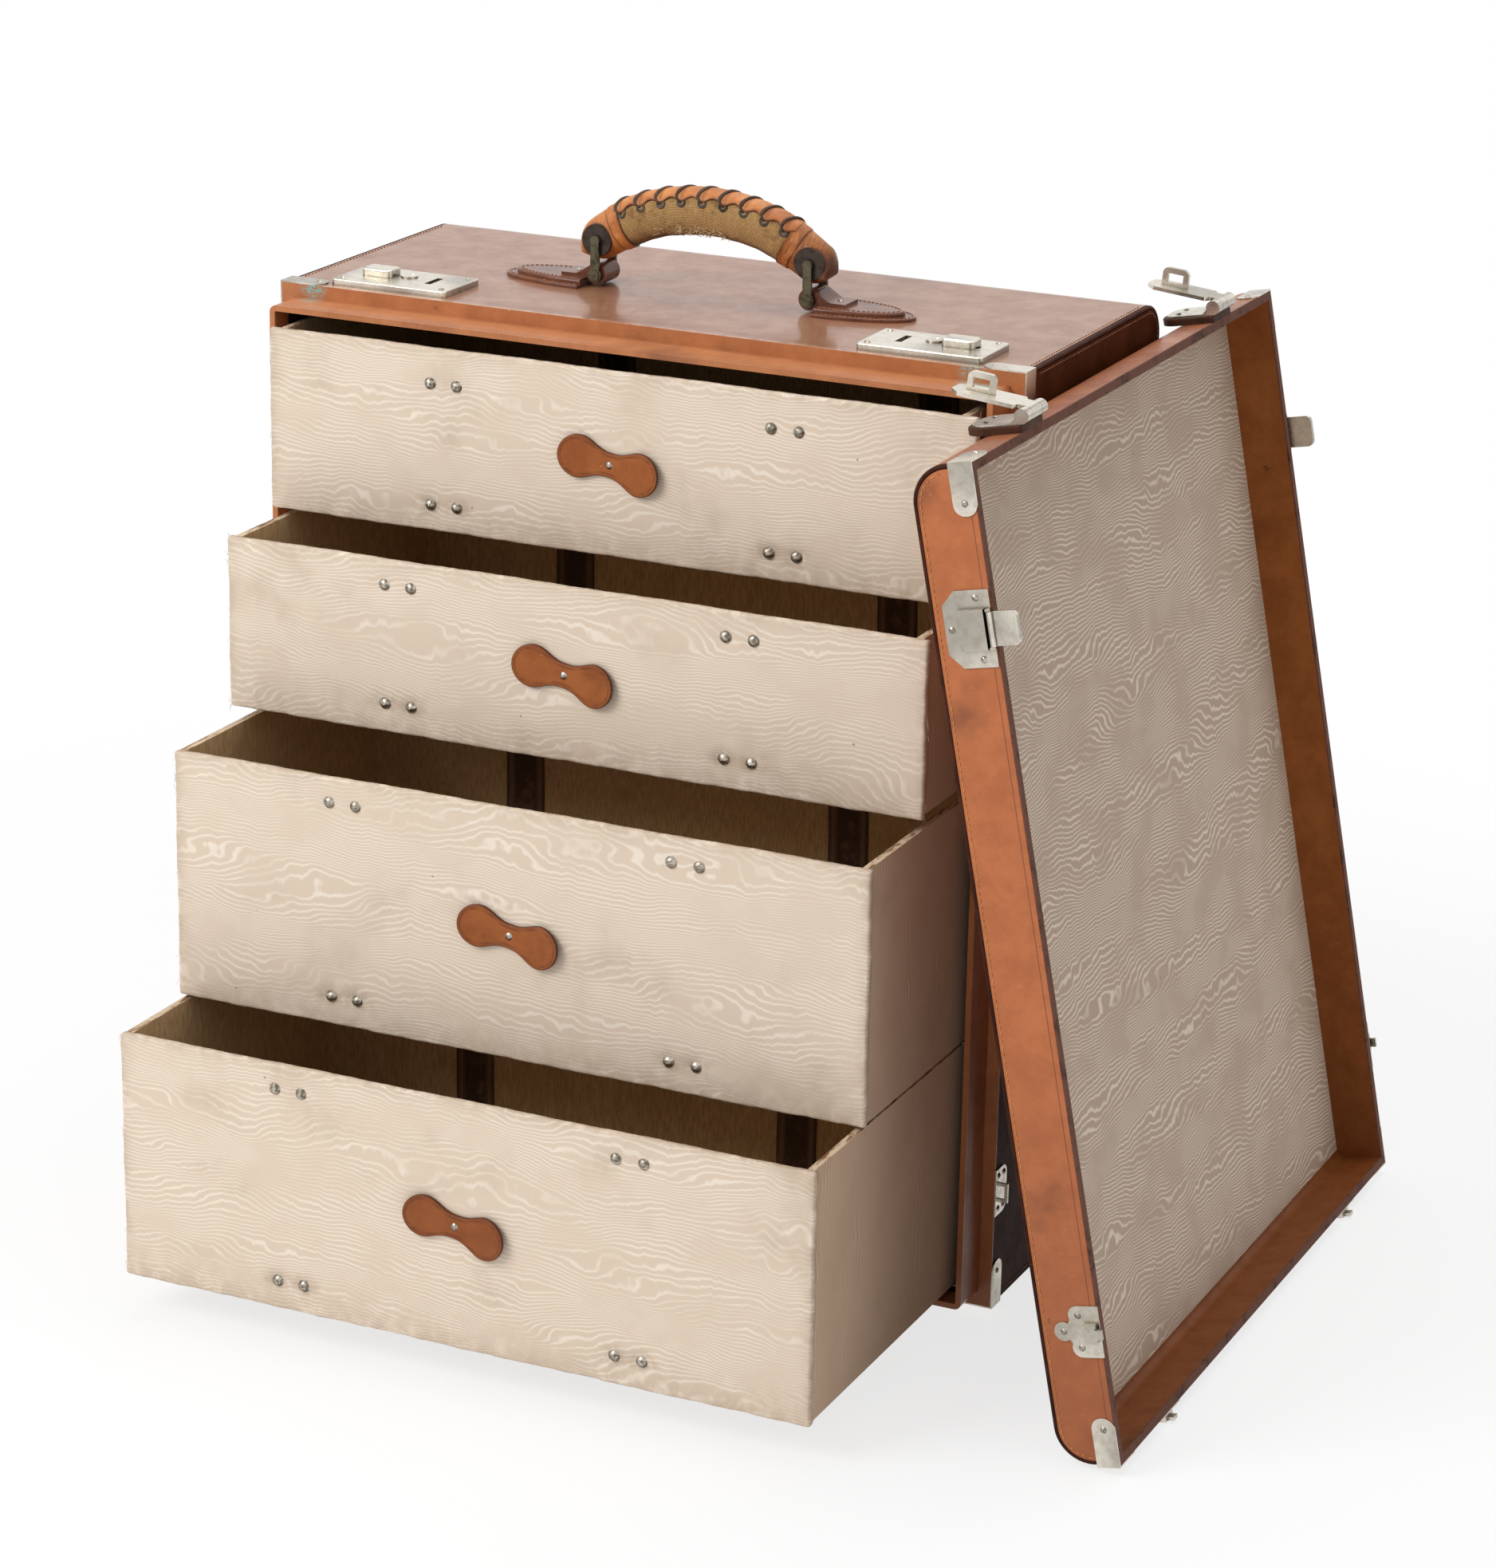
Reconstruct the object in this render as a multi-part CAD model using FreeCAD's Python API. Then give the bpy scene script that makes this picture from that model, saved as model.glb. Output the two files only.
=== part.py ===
import FreeCAD, Part
import math
import os

# A leather wardrobe trunk, standing open: an upright case with four drawers pulled out by steps,
# a carrying handle and two locks on its top, and its lid taken off and leant on the right side.
# Units are millimetres. +X is to the right, +Y to the back and +Z up. The origin is the centre
# of the case's underside, so the floor lies one foot height below it.
# The lid is drawn where it closes the case, on the front, and is then placed where it leans.

Vector = FreeCAD.Vector
X_AXIS = Vector(1, 0, 0)
Y_AXIS = Vector(0, 1, 0)
Z_AXIS = Vector(0, 0, 1)

# ---- Case -------------------------------------------------------------------------------
CASE_WIDTH = 550.0
CASE_HEIGHT = 655.0
CASE_DEPTH = 250.0
LID_DEPTH = 43.0
EDGE_RADIUS = 25.0
FOOT_HEIGHT = 8.4
FOOT_RADIUS = 9.0
FOOT_SOLE_RADIUS = 6.5
FOOT_FROM_SIDE = 40.0
FOOT_FROM_RIM = 32.0
HIDE = 1.5                  # thickness of the outer leather
PIPING_RADIUS = 1.6
RIM_HIDE = 1.0              # leather over the front rim of the case
LIP_HIDE = 0.8
LIP_INSET = 9.0             # step from the outside of the case to the lip
LIP_OUT = 32.0              # how far the lip stands out of the rim
LIP_TURN_IN = 18.0          # leather folded over the lip to the inside
LIP_CORNER = 5.0
LIP_BOARD = 2.4
BACK_LINING = 1.2

# ---- Drawers ----------------------------------------------------------------------------
DRAWER_SIDE_GAP = 6.5       # between a drawer front's edge and the lip
DRAWER_BACK_GAP = 4.0
DRAWER_TOP_GAP = 9.0
CLOSED_OUT = 30.0           # front face of a closed drawer, ahead of the rim
FRONT_BOARD = 3.6
FRONT_OVERHANG = 2.5        # a front is this much wider than its box, each side
FRONT_WIDER = {"drawer_1": 5.0, "drawer_2": 2.0, "drawer_3": 0.0, "drawer_4": 0.0}   # each side
BOX_SIDE = 5.0
BOX_BASE = 4.0
DRAWER_NAMES = ["drawer_4", "drawer_3", "drawer_2"]            # from the floor up
DRAWER_HEIGHTS = [176.0, 175.0, 120.5]
DRAWER_GAPS = [5.5, 2.0, 10.0, 4.5]                            # below each, the top one last
DRAWER_OUT = {"drawer_1": 42.0, "drawer_2": 106.0, "drawer_3": 182.0, "drawer_4": 257.0}
RUNNER_THICKNESS = 1.0
RUNNER_UPRIGHT = 12.0
RUNNER_UNDERLAP = 6.0       # how far a runner reaches under the side of a drawer
RUNNER_PLAY = 0.3
DRAWER_RIVET_RADIUS = 4.2
DRAWER_RIVET_HEIGHT = 2.6
DRAWER_RIVET_PAIR = (116.0, 136.0)                             # from the drawer's middle
DRAWER_RIVET_FROM_TOP = {"drawer_1": 24.5, "drawer_2": 17.5, "drawer_3": 17.5, "drawer_4": 17.5}
DRAWER_RIVET_FROM_BASE = {"drawer_1": 18.1, "drawer_2": 20.0, "drawer_3": 20.0, "drawer_4": 20.0}
PULL_LENGTH = 75.0
PULL_LOBE_RADIUS = 15.0
PULL_WAIST = 8.5            # half height of the pull's middle
PULL_WAIST_RADIUS = 24.0
PULL_THICKNESS = 2.6
PULL_STANDOFF = 3.4         # how far the ends of a pull stand off the front
PULL_TILT = 10.0            # degrees, its left end up
PULL_BLANK = 20.0           # depth of the blank that a pull is cut from
PULL_RIVET_RADIUS = 2.8
PULL_RIVET_HEIGHT = 1.4

# ---- Metal fittings ---------------------------------------------------------------------
STRAP_WIDTH = 16.0
STRAP_TOP_LEG = 31.0
STRAP_SIDE_LEG = 33.0
STRAP_THICKNESS = 1.0
STRAP_RIVET_FROM_CORNER = 25.0
STUD_RADIUS = 2.3           # heads of the small rivets
STUD_HEIGHT = 1.1
SHANK_RADIUS = 1.0
SHANK_LENGTH = 5.0
LOCK_FROM_SIDE = 34.0
LOCK_LENGTH = 89.0
LOCK_WIDTH = 50.0
LOCK_FROM_RIM = 8.0
LOCK_THICKNESS = 4.5
LOCK_CORNER = 3.0
LOCK_EDGE_ROUND = 1.0
LOCK_STUD_INSET = 6.0
LOCK_LINE = 34.5            # from the rim to the middle of the slot, button and bolt
SLOT_FROM_LOCK_END = 23.0   # the lock's end nearest the trunk's middle
SLOT_WIDTH = 4.8
SLOT_LENGTH = 19.4
KEYHOLE_FROM_LOCK_END = 44.0
KEYHOLE_FROM_RIM = 38.0
KEYHOLE_WIDTH = 3.0
KEYHOLE_LENGTH = 6.0
KEY_COVER_RADIUS = 6.0
KEY_COVER_THICKNESS = 1.2
KEY_COVER_PIN = 4.0         # from the middle of the cover to its pin
KEY_COVER_PIN_RADIUS = 1.0
KEY_COVER_HEAD_RADIUS = 1.8
KEY_COVER_HEAD = 0.6
BUTTON_FROM_LOCK_END = 64.0
BUTTON_LENGTH = 23.0
BUTTON_WIDTH = 16.0
BUTTON_HEIGHT = 5.5
BUTTON_CORNER = 3.0
BUTTON_ROUND = 1.6
BUTTON_TRAVEL = 8.0
STEM_LENGTH = 10.0
STEM_WIDTH = 5.6
BOLT_WIDTH = 5.0
BOLT_THICKNESS = 2.6
BOLT_BELOW_TOP = 0.9        # from the case's top down to the bolt
BOLT_PAST_SLOT = 3.0
LOCK_CASE_FLOOR = 9.5       # depth of the lock case below the case's top
LOCK_CASE_WALL = 1.0
LOCK_CASE_FROM_LOCK_END = 12.0
LOCK_CASE_LENGTH = 68.0
LOCK_CASE_WIDTH = 25.0
RUNNING = 0.05              # radial play of a pin in its hole
OVER = 1.0                  # how far a cutter runs past what it cuts
SLIDE_PLAY = 0.2

# ---- Hasps, on the lid ------------------------------------------------------------------
HASP_PAD_HALF = 19.0
HASP_PAD_THICKNESS = 5.0
HASP_PAD_FROM_FACE = 2.5    # from the lid's outer face
HASP_PAD_ROUND = 14.0
HASP_PAD_CORNER = 3.0
HASP_PAD_SOFT = 1.2         # worn roundness of its upper edge
HASP_BASE_HALF = 16.5
HASP_BASE_THICKNESS = 1.2
HASP_BASE_FROM_FACE = 5.5
HASP_BASE_ROUND = 12.0
HASP_STUD_IN = 9.0          # from the base's round end
HASP_STUD_SPREAD = 8.0
KNUCKLE_RADIUS = 4.9
KNUCKLE_END = 8.4           # length of each knuckle of the base
KNUCKLE_PLAY = 0.25
KNUCKLE_STEP = 1.5          # base plate's end, short of the knuckles
KNUCKLE_FOOT = 3.0
KNUCKLE_FOOT_TOP = 4.0
HASP_PIN_RADIUS = 1.6
HASP_HALF = 12.0
HASP_LENGTH = 52.0          # hinge line to tip
HASP_THICKNESS = 2.5
HASP_TIP_CUT = 6.0
HASP_NECK = 8.0
HASP_SHOULDER = 2.0
HASP_CORNER = 1.0
HASP_OPEN = 163.0           # degrees from closed, as it lies
STAPLE_LENGTH = 18.8
STAPLE_HEIGHT = 12.5
STAPLE_FRAME = 3.8
STAPLE_THICKNESS = 3.4
STAPLE_CORNER = 4.0
STAPLE_OPENING = (11.4, 6.4)

# ---- Catches and hooks on the lid, loops and keepers on the case -------------------------
CATCH_BELOW_TOP = 103.0
CATCH_PLATE = (49.0, 32.0)
CATCH_FROM_EDGE = 1.5
CATCH_CORNER_CUT = 9.0
CATCH_CORNER = 1.0
CATCH_STUD_FROM_RIM = 9.0
CATCH_STUD_FROM_END = 5.0
CATCH_STUD_FROM_TIP = 4.5
PLATE = 1.0                 # sheet of the catch, hook and loop plates
HOUSING = (26.0, 18.0, 4.6)
HOUSING_FROM_EDGE = 5.0
HOUSING_WALL = 1.0
TONGUE_PIN_FROM_EDGE = 2.0
TONGUE_PIN_RADIUS = 1.0
TONGUE_BARREL = 2.1
TONGUE_WIDTH = 22.0
TONGUE_THICKNESS = 1.5
TONGUE_PAST_EDGE = 16.6
TONGUE_LIP = 2.4
TONGUE_LIP_THICKNESS = 1.4
TONGUE_CORNER = 4.0
EAR_THICKNESS = 1.6
EAR_PAST_PIN = 1.6
EAR_BEFORE_PIN = 1.8
EAR_AFTER_PIN = 0.5
KEEPER = (26.0, 18.0, 0.9)
KEEPER_CORNER = 4.0
HOOK_HEIGHT = 92.0
HOOK_FROM_SIDE = 91.0       # of the hooks under the trunk
HOOK_LOBE = 6.5
HOOK_PLATE_CORNER = 2.0
HOOK_RIVET_SPREAD = 11.0
HOOK_RIVET_BACK = 11.0
HOOK_RIVETS_FROM_EDGE = 14.0
HOOK_WIDTH = 13.0
HOOK_LENGTH = 10.0
HOOK_RISE = 6.5
HOOK_FROM_EDGE = 1.5
HOOK_TIP_NARROWING = 3.2     # each side
HOOK_TIP_PAST = 3.0
HOOK_TIP_THICKNESS = 2.4
LOOP_HEIGHT_CENTRE = 84.5
LOOP_LENGTH = 14.0
LOOP_RISE = 7.8
LOOP_WIRE = 2.2
LOOP_FROM_RIM = 4.0
LOOP_PLATE_STUDS = (5.0, 14.0)
LOOP_STUD_PAST = 5.0        # from the loop's end
LOOP_PLATE_PAST = 10.0
LOOP_PLATE_WIDTH = 19.0
LOOP_PLATE_CORNER = 7.0

# ---- Lid --------------------------------------------------------------------------------
LID_WALL = 6.0
LID_PANEL = 9.0
LID_LINING = 0.8
LID_SILK = 1.2
LID_INNER_RADIUS = 6.0
LID_BINDING = 1.2
LEAN = 11.1                 # degrees
LEAN_GAP = 0.3
LID_NEAR_SIDE = -306.0      # where the lid's nearer side wall stands

# ---- Handle -----------------------------------------------------------------------------
SHACKLE_FROM_MIDDLE = 80.0
LOWER_PIN_HEIGHT = 8.5      # above the case's top
SHACKLE_LENGTH = 24.0
GRIP_RISE = 25.5            # middle of the grip above its end pins
GRIP_HALF_WIDTH = 13.2
GRIP_HALF_HEIGHT = 15.6
GRIP_END_RADIUS = 14.6
GRIP_END_HALF = 11.2
GRIP_RELIEF = 4.0           # room round the collars for the shackles' arms
COLLAR_RADIUS = 15.6
COLLAR_HOLE = 11.0
DISC_DEPTH = 1.6
GRIP_SKIN = 1.4
LACE_THICKNESS = 1.5
LACE_WIDTH = 3.0
LACE_SKEW = 9.0
EYELETS = 9
EYELET_HALF_SPAN = 24.6     # degrees round the grip's arc
EYELET_RADIUS = 3.4
EYELET_HOLE = 1.7
EYELET_RISE = 8.0
EYELET_DEPTH = 1.5          # let into the canvas
EYELET_STANDOFF = 0.6
STRIP_DEPTH = 2.0           # the strip's blank starts this far above the arc
STRIP_HALF = 9.4
STRIP_HALF_SPAN = 27.5
ARM_THICKNESS = 2.6
ARM_GAP = 0.4
ARM_LOWER_RADIUS = 4.8
ARM_UPPER_RADIUS = 3.5
ARM_LOWER_HALF = 3.3        # half width of the bar between the round ends
ARM_UPPER_HALF = 2.9
SHACKLE_PIN_RADIUS = 2.0
SCREW_HEAD_RADIUS = 3.6
SCREW_HEAD = 0.8
SCREW_SLOT = 0.8
PAD_START = 88.0            # straight inner end of the patches, from the trunk's middle
PAD_REACH = 66.0
PAD_HALF_WIDTH = 25.0
PAD_THICKNESS = 2.5
PAD_SOFT = 0.8
TOP_PAD_REACH = 58.0
TOP_PAD_HALF_WIDTH = 20.5
TOP_PAD_THICKNESS = 3.2
TOP_PAD_SOFT = 1.6
CHAPE_RADIUS = 7.4
CHAPE_HALF = 10.8
CHAPE_TAB = 2.2
CHAPE_TAB_END = 107.0
CHAPE_RIVET = 99.0
CHAPE_STEP = 4.0            # from the rivet to where the tab rises
CHAPE_STEP_RADIUS = 8.0
CHAPE_CREST = 5.0           # past the pin, where the loop starts to fall
CHAPE_CREST_DROP = 1.4
CHAPE_CREST_RADIUS = 4.0

# ---- Worked out from the sizes above ----------------------------------------------------
HALF = CASE_WIDTH / 2
LOCK_FROM_MIDDLE = HALF - LOCK_FROM_SIDE - LOCK_LENGTH
SLOT_FROM_MIDDLE = LOCK_FROM_MIDDLE + SLOT_FROM_LOCK_END
KEYHOLE_FROM_MIDDLE = LOCK_FROM_MIDDLE + KEYHOLE_FROM_LOCK_END
BUTTON_FROM_MIDDLE = LOCK_FROM_MIDDLE + BUTTON_FROM_LOCK_END
LOCK_CASE_START = LOCK_FROM_MIDDLE + LOCK_CASE_FROM_LOCK_END
LOCK_CASE_END = LOCK_CASE_START + LOCK_CASE_LENGTH
CATCH_HEIGHT = CASE_HEIGHT - CATCH_BELOW_TOP
HOOK_FROM_MIDDLE = HALF - HOOK_FROM_SIDE
TOP = CASE_HEIGHT
RIM = -CASE_DEPTH / 2
BACK = CASE_DEPTH / 2
LID_FACE = RIM - LID_DEPTH
MIDDLE = CASE_HEIGHT / 2
SEAT = 2 * PIPING_RADIUS                      # the leathers stop here, beside the piping
SHELL = LIP_INSET + LIP_HIDE                  # leather and board of the case together
FRAME_IN = SHELL + LIP_BOARD                  # inside of the thin inner frame
LIP_IN = FRAME_IN + LIP_HIDE
HANDLE_Y = (LID_FACE + BACK) / 2              # middle of the closed trunk
LOCK_Y = RIM + LOCK_LINE
FRONT_HALF = HALF - LIP_IN - DRAWER_SIDE_GAP
BOX_HALF = FRONT_HALF - FRONT_OVERHANG
DRAWER_DEPTH = CLOSED_OUT + CASE_DEPTH - SHELL - BACK_LINING - DRAWER_BACK_GAP
HASP_AXIS_Z = TOP + HASP_PAD_THICKNESS + KNUCKLE_RADIUS
HASP_PLACES = (SLOT_FROM_MIDDLE, -SLOT_FROM_MIDDLE)
LOWER_PIN_Z = TOP + LOWER_PIN_HEIGHT
UPPER_PIN_Z = LOWER_PIN_Z + SHACKLE_LENGTH
GRIP_ARC = (SHACKLE_FROM_MIDDLE ** 2 + GRIP_RISE ** 2) / (2 * GRIP_RISE)
GRIP_CENTRE_Z = UPPER_PIN_Z + GRIP_RISE - GRIP_ARC
GRIP_END_ANGLE = math.asin(SHACKLE_FROM_MIDDLE / GRIP_ARC)
ARM_IN = GRIP_END_HALF + ARM_GAP
ARM_OUT = ARM_IN + ARM_THICKNESS


def drawer_levels():
    """Base and top height of each drawer; the top drawer takes the height that is left."""
    levels = {}
    base = LIP_IN
    for name, height, gap in zip(DRAWER_NAMES, DRAWER_HEIGHTS, DRAWER_GAPS):
        base += gap
        levels[name] = (base, base + height)
        base += height
    levels["drawer_1"] = (base + DRAWER_GAPS[-1], CASE_HEIGHT - LIP_IN - DRAWER_TOP_GAP)
    return levels


def lid_placement():
    """Where the lid leans: turned to face the right, and tilted back against the case."""
    lean = math.radians(LEAN)
    arc_x = EDGE_RADIUS * math.cos(lean) - (CASE_HEIGHT - EDGE_RADIUS) * math.sin(lean)
    corner_x = HALF + LEAN_GAP + EDGE_RADIUS - arc_x
    lowest_c = LID_DEPTH - HOOK_LENGTH
    lowest = lowest_c * math.sin(lean) - HOOK_RISE * math.cos(lean)
    corner_z = -FOOT_HEIGHT - lowest
    turn = FreeCAD.Matrix(
        0, math.cos(lean), -math.sin(lean), corner_x - LID_FACE * math.cos(lean),
        -1, 0, 0, LID_NEAR_SIDE + HALF,
        0, math.sin(lean), math.cos(lean), corner_z - LID_FACE * math.sin(lean),
        0, 0, 0, 1)
    return FreeCAD.Placement(turn)


# ---- Shape helpers ----------------------------------------------------------------------
def box(x_range, y_range, z_range):
    """A block between a low and a high value on each axis, given in either order."""
    low = Vector(min(x_range), min(y_range), min(z_range))
    high = Vector(max(x_range), max(y_range), max(z_range))
    size = high - low
    return Part.makeBox(size.x, size.y, size.z, low)


def rod(radius, start, end):
    """A round bar from one point to another."""
    along = end - start
    return Part.makeCylinder(radius, along.Length, start, along)


def rounded_edges(corners, closed):
    """Lines and tangent arcs through corners, each a point and a radius."""
    count = len(corners)
    pieces = []
    for index, (point, radius) in enumerate(corners):
        inner = closed or 0 < index < count - 1
        if radius <= 0 or not inner:
            pieces.append((point, None, point))
            continue
        before = (corners[index - 1][0] - point).normalize()
        after = (corners[(index + 1) % count][0] - point).normalize()
        half = before.getAngle(after) / 2
        reach = radius / math.tan(half)
        bisector = (before + after).normalize()
        middle = point + bisector * (radius / math.sin(half) - radius)
        pieces.append((point + before * reach, middle, point + after * reach))
    edges = []
    for index, (start, middle, end) in enumerate(pieces):
        if middle is not None:
            edges.append(Part.Arc(start, middle, end).toShape())
        if index < count - 1 or closed:
            following = pieces[(index + 1) % count][0]
            if end.distanceToPoint(following) > 1e-6:
                edges.append(Part.LineSegment(end, following).toShape())
    return edges


def prism(corners, origin, across, up, thickness):
    """A flat plate: corners are (across, up, radius), and it thickens along across x up."""
    points = []
    for a, b, radius in corners:
        points.append((origin + across * a + up * b, radius))
    face = Part.Face(Part.Wire(rounded_edges(points, True)))
    return face.extrude(across.cross(up).normalize() * thickness)


def disc_prism(radius, centre, direction, thickness):
    """A round plate that grows from centre along direction."""
    return Part.makeCylinder(radius, thickness, centre, direction)


def dome(centre, normal, radius, height):
    """A round rivet head, flat at centre and bulging along normal."""
    sphere = (radius ** 2 + height ** 2) / (2 * height)
    latitude = math.degrees(math.asin((sphere - height) / sphere))
    return Part.makeSphere(sphere, centre - normal * (sphere - height), normal, latitude, 90, 360)


def stud(centre, normal):
    """A small rivet: its head on the surface at centre, and its shank below."""
    head = dome(centre, normal, STUD_RADIUS, STUD_HEIGHT)
    return head.fuse(rod(SHANK_RADIUS, centre - normal * SHANK_LENGTH, centre)).removeSplitter()


def mirror_x(shape):
    """The same piece on the other side of the trunk."""
    return shape.mirror(Vector(0, 0, 0), X_AXIS)


def mirror_z(shape):
    """The same piece at the other end of the trunk's height."""
    return shape.mirror(Vector(0, 0, MIDDLE), Z_AXIS)


def both_sides(shape):
    """A piece and its mirror image."""
    return [shape, mirror_x(shape)]


def minus(shape, tools):
    """A shape with a list of tools cut away."""
    return shape.cut(tools) if tools else shape


def top_edges(shape, height):
    """The edges that lie in a level plane."""
    found = []
    for edge in shape.Edges:
        if all(abs(vertex.Point.z - height) < 1e-6 for vertex in edge.Vertexes):
            bounds = edge.BoundBox
            if bounds.ZMax - bounds.ZMin < 1e-6:
                found.append(edge)
    return found


def soften(shape, height, radius):
    """A shape with the edges at one height rounded."""
    return shape.makeFillet(radius, top_edges(shape, height))


def case_slab(open_y, end_y, inset, radius, x_range):
    """The trunk's side outline, square at open_y and rounded at end_y, between two x values."""
    corners = [
        (Vector(min(x_range), open_y, inset), 0),
        (Vector(min(x_range), end_y, inset), radius),
        (Vector(min(x_range), end_y, TOP - inset), radius),
        (Vector(min(x_range), open_y, TOP - inset), 0)]
    face = Part.Face(Part.Wire(rounded_edges(corners, True)))
    return face.extrude(X_AXIS * (max(x_range) - min(x_range)))


def rim_slab(inset, radius, y_range):
    """The trunk's front outline, inset and with rounded corners, between two y values."""
    half = HALF - inset
    corners = [(-half, inset, radius), (half, inset, radius),
               (half, TOP - inset, radius), (-half, TOP - inset, radius)]
    origin = Vector(0, max(y_range), 0)
    return prism(corners, origin, X_AXIS, Z_AXIS, max(y_range) - min(y_range))


def rim_ring(outer_inset, inner_inset, radius, y_range):
    """A frame that follows the front outline."""
    inner_radius = max(radius - (inner_inset - outer_inset), 0)
    over = (min(y_range) - OVER, max(y_range) + OVER)
    return rim_slab(outer_inset, radius, y_range).cut(rim_slab(inner_inset, inner_radius, over))


def piping(open_y, end_y):
    """The bead along the seam of the right-hand side, round the outline but not its open edge."""
    x = HALF - PIPING_RADIUS
    inset = PIPING_RADIUS
    turn = EDGE_RADIUS - inset
    side = 1 if end_y > open_y else -1
    corners = [
        (Vector(x, open_y, TOP - inset), 0),
        (Vector(x, end_y - side * inset, TOP - inset), turn),
        (Vector(x, end_y - side * inset, inset), turn),
        (Vector(x, open_y, inset), 0)]
    path = Part.Wire(rounded_edges(corners, False))
    circle = Part.makeCircle(PIPING_RADIUS, corners[0][0], Vector(0, side, 0))
    bead = path.makePipeShell([Part.Wire(circle)], True, True)
    board = case_slab(open_y - side * OVER, end_y - side * HIDE, HIDE, EDGE_RADIUS - HIDE, (0, HALF - HIDE))
    return bead.cut(board)


# ---- Case -------------------------------------------------------------------------------
def lock_pocket():
    """The hole for the right-hand lock case in the top of the trunk."""
    y_range = (LOCK_Y - LOCK_CASE_WIDTH / 2, LOCK_Y + LOCK_CASE_WIDTH / 2)
    return box((LOCK_CASE_START, LOCK_CASE_END), y_range, (TOP - LOCK_CASE_FLOOR, TOP))


def carcass_box(shanks):
    """Plywood box, open at the front."""
    start = RIM + RIM_HIDE
    outer = case_slab(start, BACK - HIDE, HIDE, EDGE_RADIUS - HIDE, (-HALF + HIDE, HALF - HIDE))
    inner = HALF - SHELL
    cavity = box((-inner, inner), (start - OVER, BACK - SHELL), (SHELL, TOP - SHELL))
    return minus(outer.cut(cavity), both_sides(lock_pocket()) + shanks)


def leather_wrap(shanks):
    """Leather over the top, back and underside in one strip."""
    start = RIM + RIM_HIDE
    skin = case_slab(start, BACK, 0, EDGE_RADIUS, (-HALF + SEAT, HALF - SEAT))
    core = case_slab(start - OVER, BACK - HIDE, HIDE, EDGE_RADIUS - HIDE, (-HALF, HALF))
    return minus(skin.cut(core), both_sides(lock_pocket()) + shanks)


def side_leather(shanks):
    """Flat leather panels of the two sides."""
    start = RIM + RIM_HIDE
    panel = case_slab(start, BACK - SEAT, SEAT, EDGE_RADIUS - SEAT, (HALF - HIDE, HALF))
    return [minus(piece, shanks) for piece in both_sides(panel)]


def lip_leather():
    """Leather that covers the front rim, runs out over the lip and turns in round its edge."""
    front = RIM - LIP_OUT
    flange = rim_ring(0, LIP_INSET + LIP_HIDE, 0, (RIM, RIM + RIM_HIDE))
    outside = rim_ring(LIP_INSET, LIP_INSET + LIP_HIDE, LIP_CORNER, (front, RIM + RIM_HIDE))
    nose = rim_ring(LIP_INSET, LIP_IN, LIP_CORNER, (front, front + LIP_HIDE))
    inside = rim_ring(FRAME_IN, LIP_IN, LIP_CORNER - LIP_BOARD - LIP_HIDE, (front, front + LIP_TURN_IN))
    return flange.fuse([outside, nose, inside]).removeSplitter()


def inner_frame():
    """Thin board frame that lines the case and stands out of it as the lip."""
    y_range = (RIM - LIP_OUT + LIP_HIDE, BACK - SHELL - BACK_LINING)
    return rim_ring(SHELL, FRAME_IN, LIP_CORNER - LIP_HIDE, y_range)


def back_lining():
    """Lined panel against the inside of the back."""
    inner = HALF - SHELL
    return box((-inner, inner), (BACK - SHELL - BACK_LINING, BACK - SHELL), (SHELL, TOP - SHELL))


def drawer_runners():
    """Folded steel angles under both sides of each drawer, held to the inner frame."""
    runners = []
    wall = HALF - FRAME_IN
    reach = BOX_HALF - RUNNER_UNDERLAP
    y_range = (RIM - LIP_OUT + LIP_TURN_IN + SLIDE_PLAY, BACK - SHELL - BACK_LINING)
    for base, top in drawer_levels().values():
        under = base - RUNNER_PLAY
        low = under - RUNNER_THICKNESS
        flange = box((reach, wall), y_range, (low, under))
        upright = box((wall - RUNNER_THICKNESS, wall), y_range, (low, low + RUNNER_UPRIGHT))
        runners += both_sides(flange.fuse(upright).removeSplitter())
    return runners


def corner_strap(y_range):
    """A bent strap over the upper right-hand corner, with rounded ends."""
    low, high = min(y_range), max(y_range)
    round_end = STRAP_WIDTH / 2 - 0.5
    outside = HALF + STRAP_THICKNESS
    over = prism([(outside, low, 0), (outside, high, 0), (HALF - STRAP_TOP_LEG, high, round_end),
                  (HALF - STRAP_TOP_LEG, low, round_end)], Vector(0, 0, TOP), X_AXIS, Y_AXIS,
                 STRAP_THICKNESS)
    down = prism([(low, TOP, 0), (low, TOP - STRAP_SIDE_LEG, round_end),
                  (high, TOP - STRAP_SIDE_LEG, round_end), (high, TOP, 0)],
                 Vector(HALF, 0, 0), Y_AXIS, Z_AXIS, STRAP_THICKNESS)
    return over.fuse(down).removeSplitter()


def four_corners(piece):
    """A piece of the upper right-hand corner, repeated at all four corners."""
    return both_sides(piece) + both_sides(mirror_z(piece))


def strap_studs(middle_y):
    """The two rivets of the upper right-hand corner strap."""
    on_top = Vector(HALF - STRAP_RIVET_FROM_CORNER, middle_y, TOP + STRAP_THICKNESS)
    on_side = Vector(HALF + STRAP_THICKNESS, middle_y, TOP - STRAP_RIVET_FROM_CORNER)
    return [stud(on_top, Z_AXIS), stud(on_side, X_AXIS)]


def lock_stud_places():
    """Centres of the four rivets of the right-hand lock plate."""
    ends = (LOCK_FROM_MIDDLE + LOCK_STUD_INSET, LOCK_FROM_MIDDLE + LOCK_LENGTH - LOCK_STUD_INSET)
    sides = (RIM + LOCK_FROM_RIM + LOCK_STUD_INSET, RIM + LOCK_FROM_RIM + LOCK_WIDTH - LOCK_STUD_INSET)
    return [Vector(x, y, TOP + LOCK_THICKNESS) for x in ends for y in sides]


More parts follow.
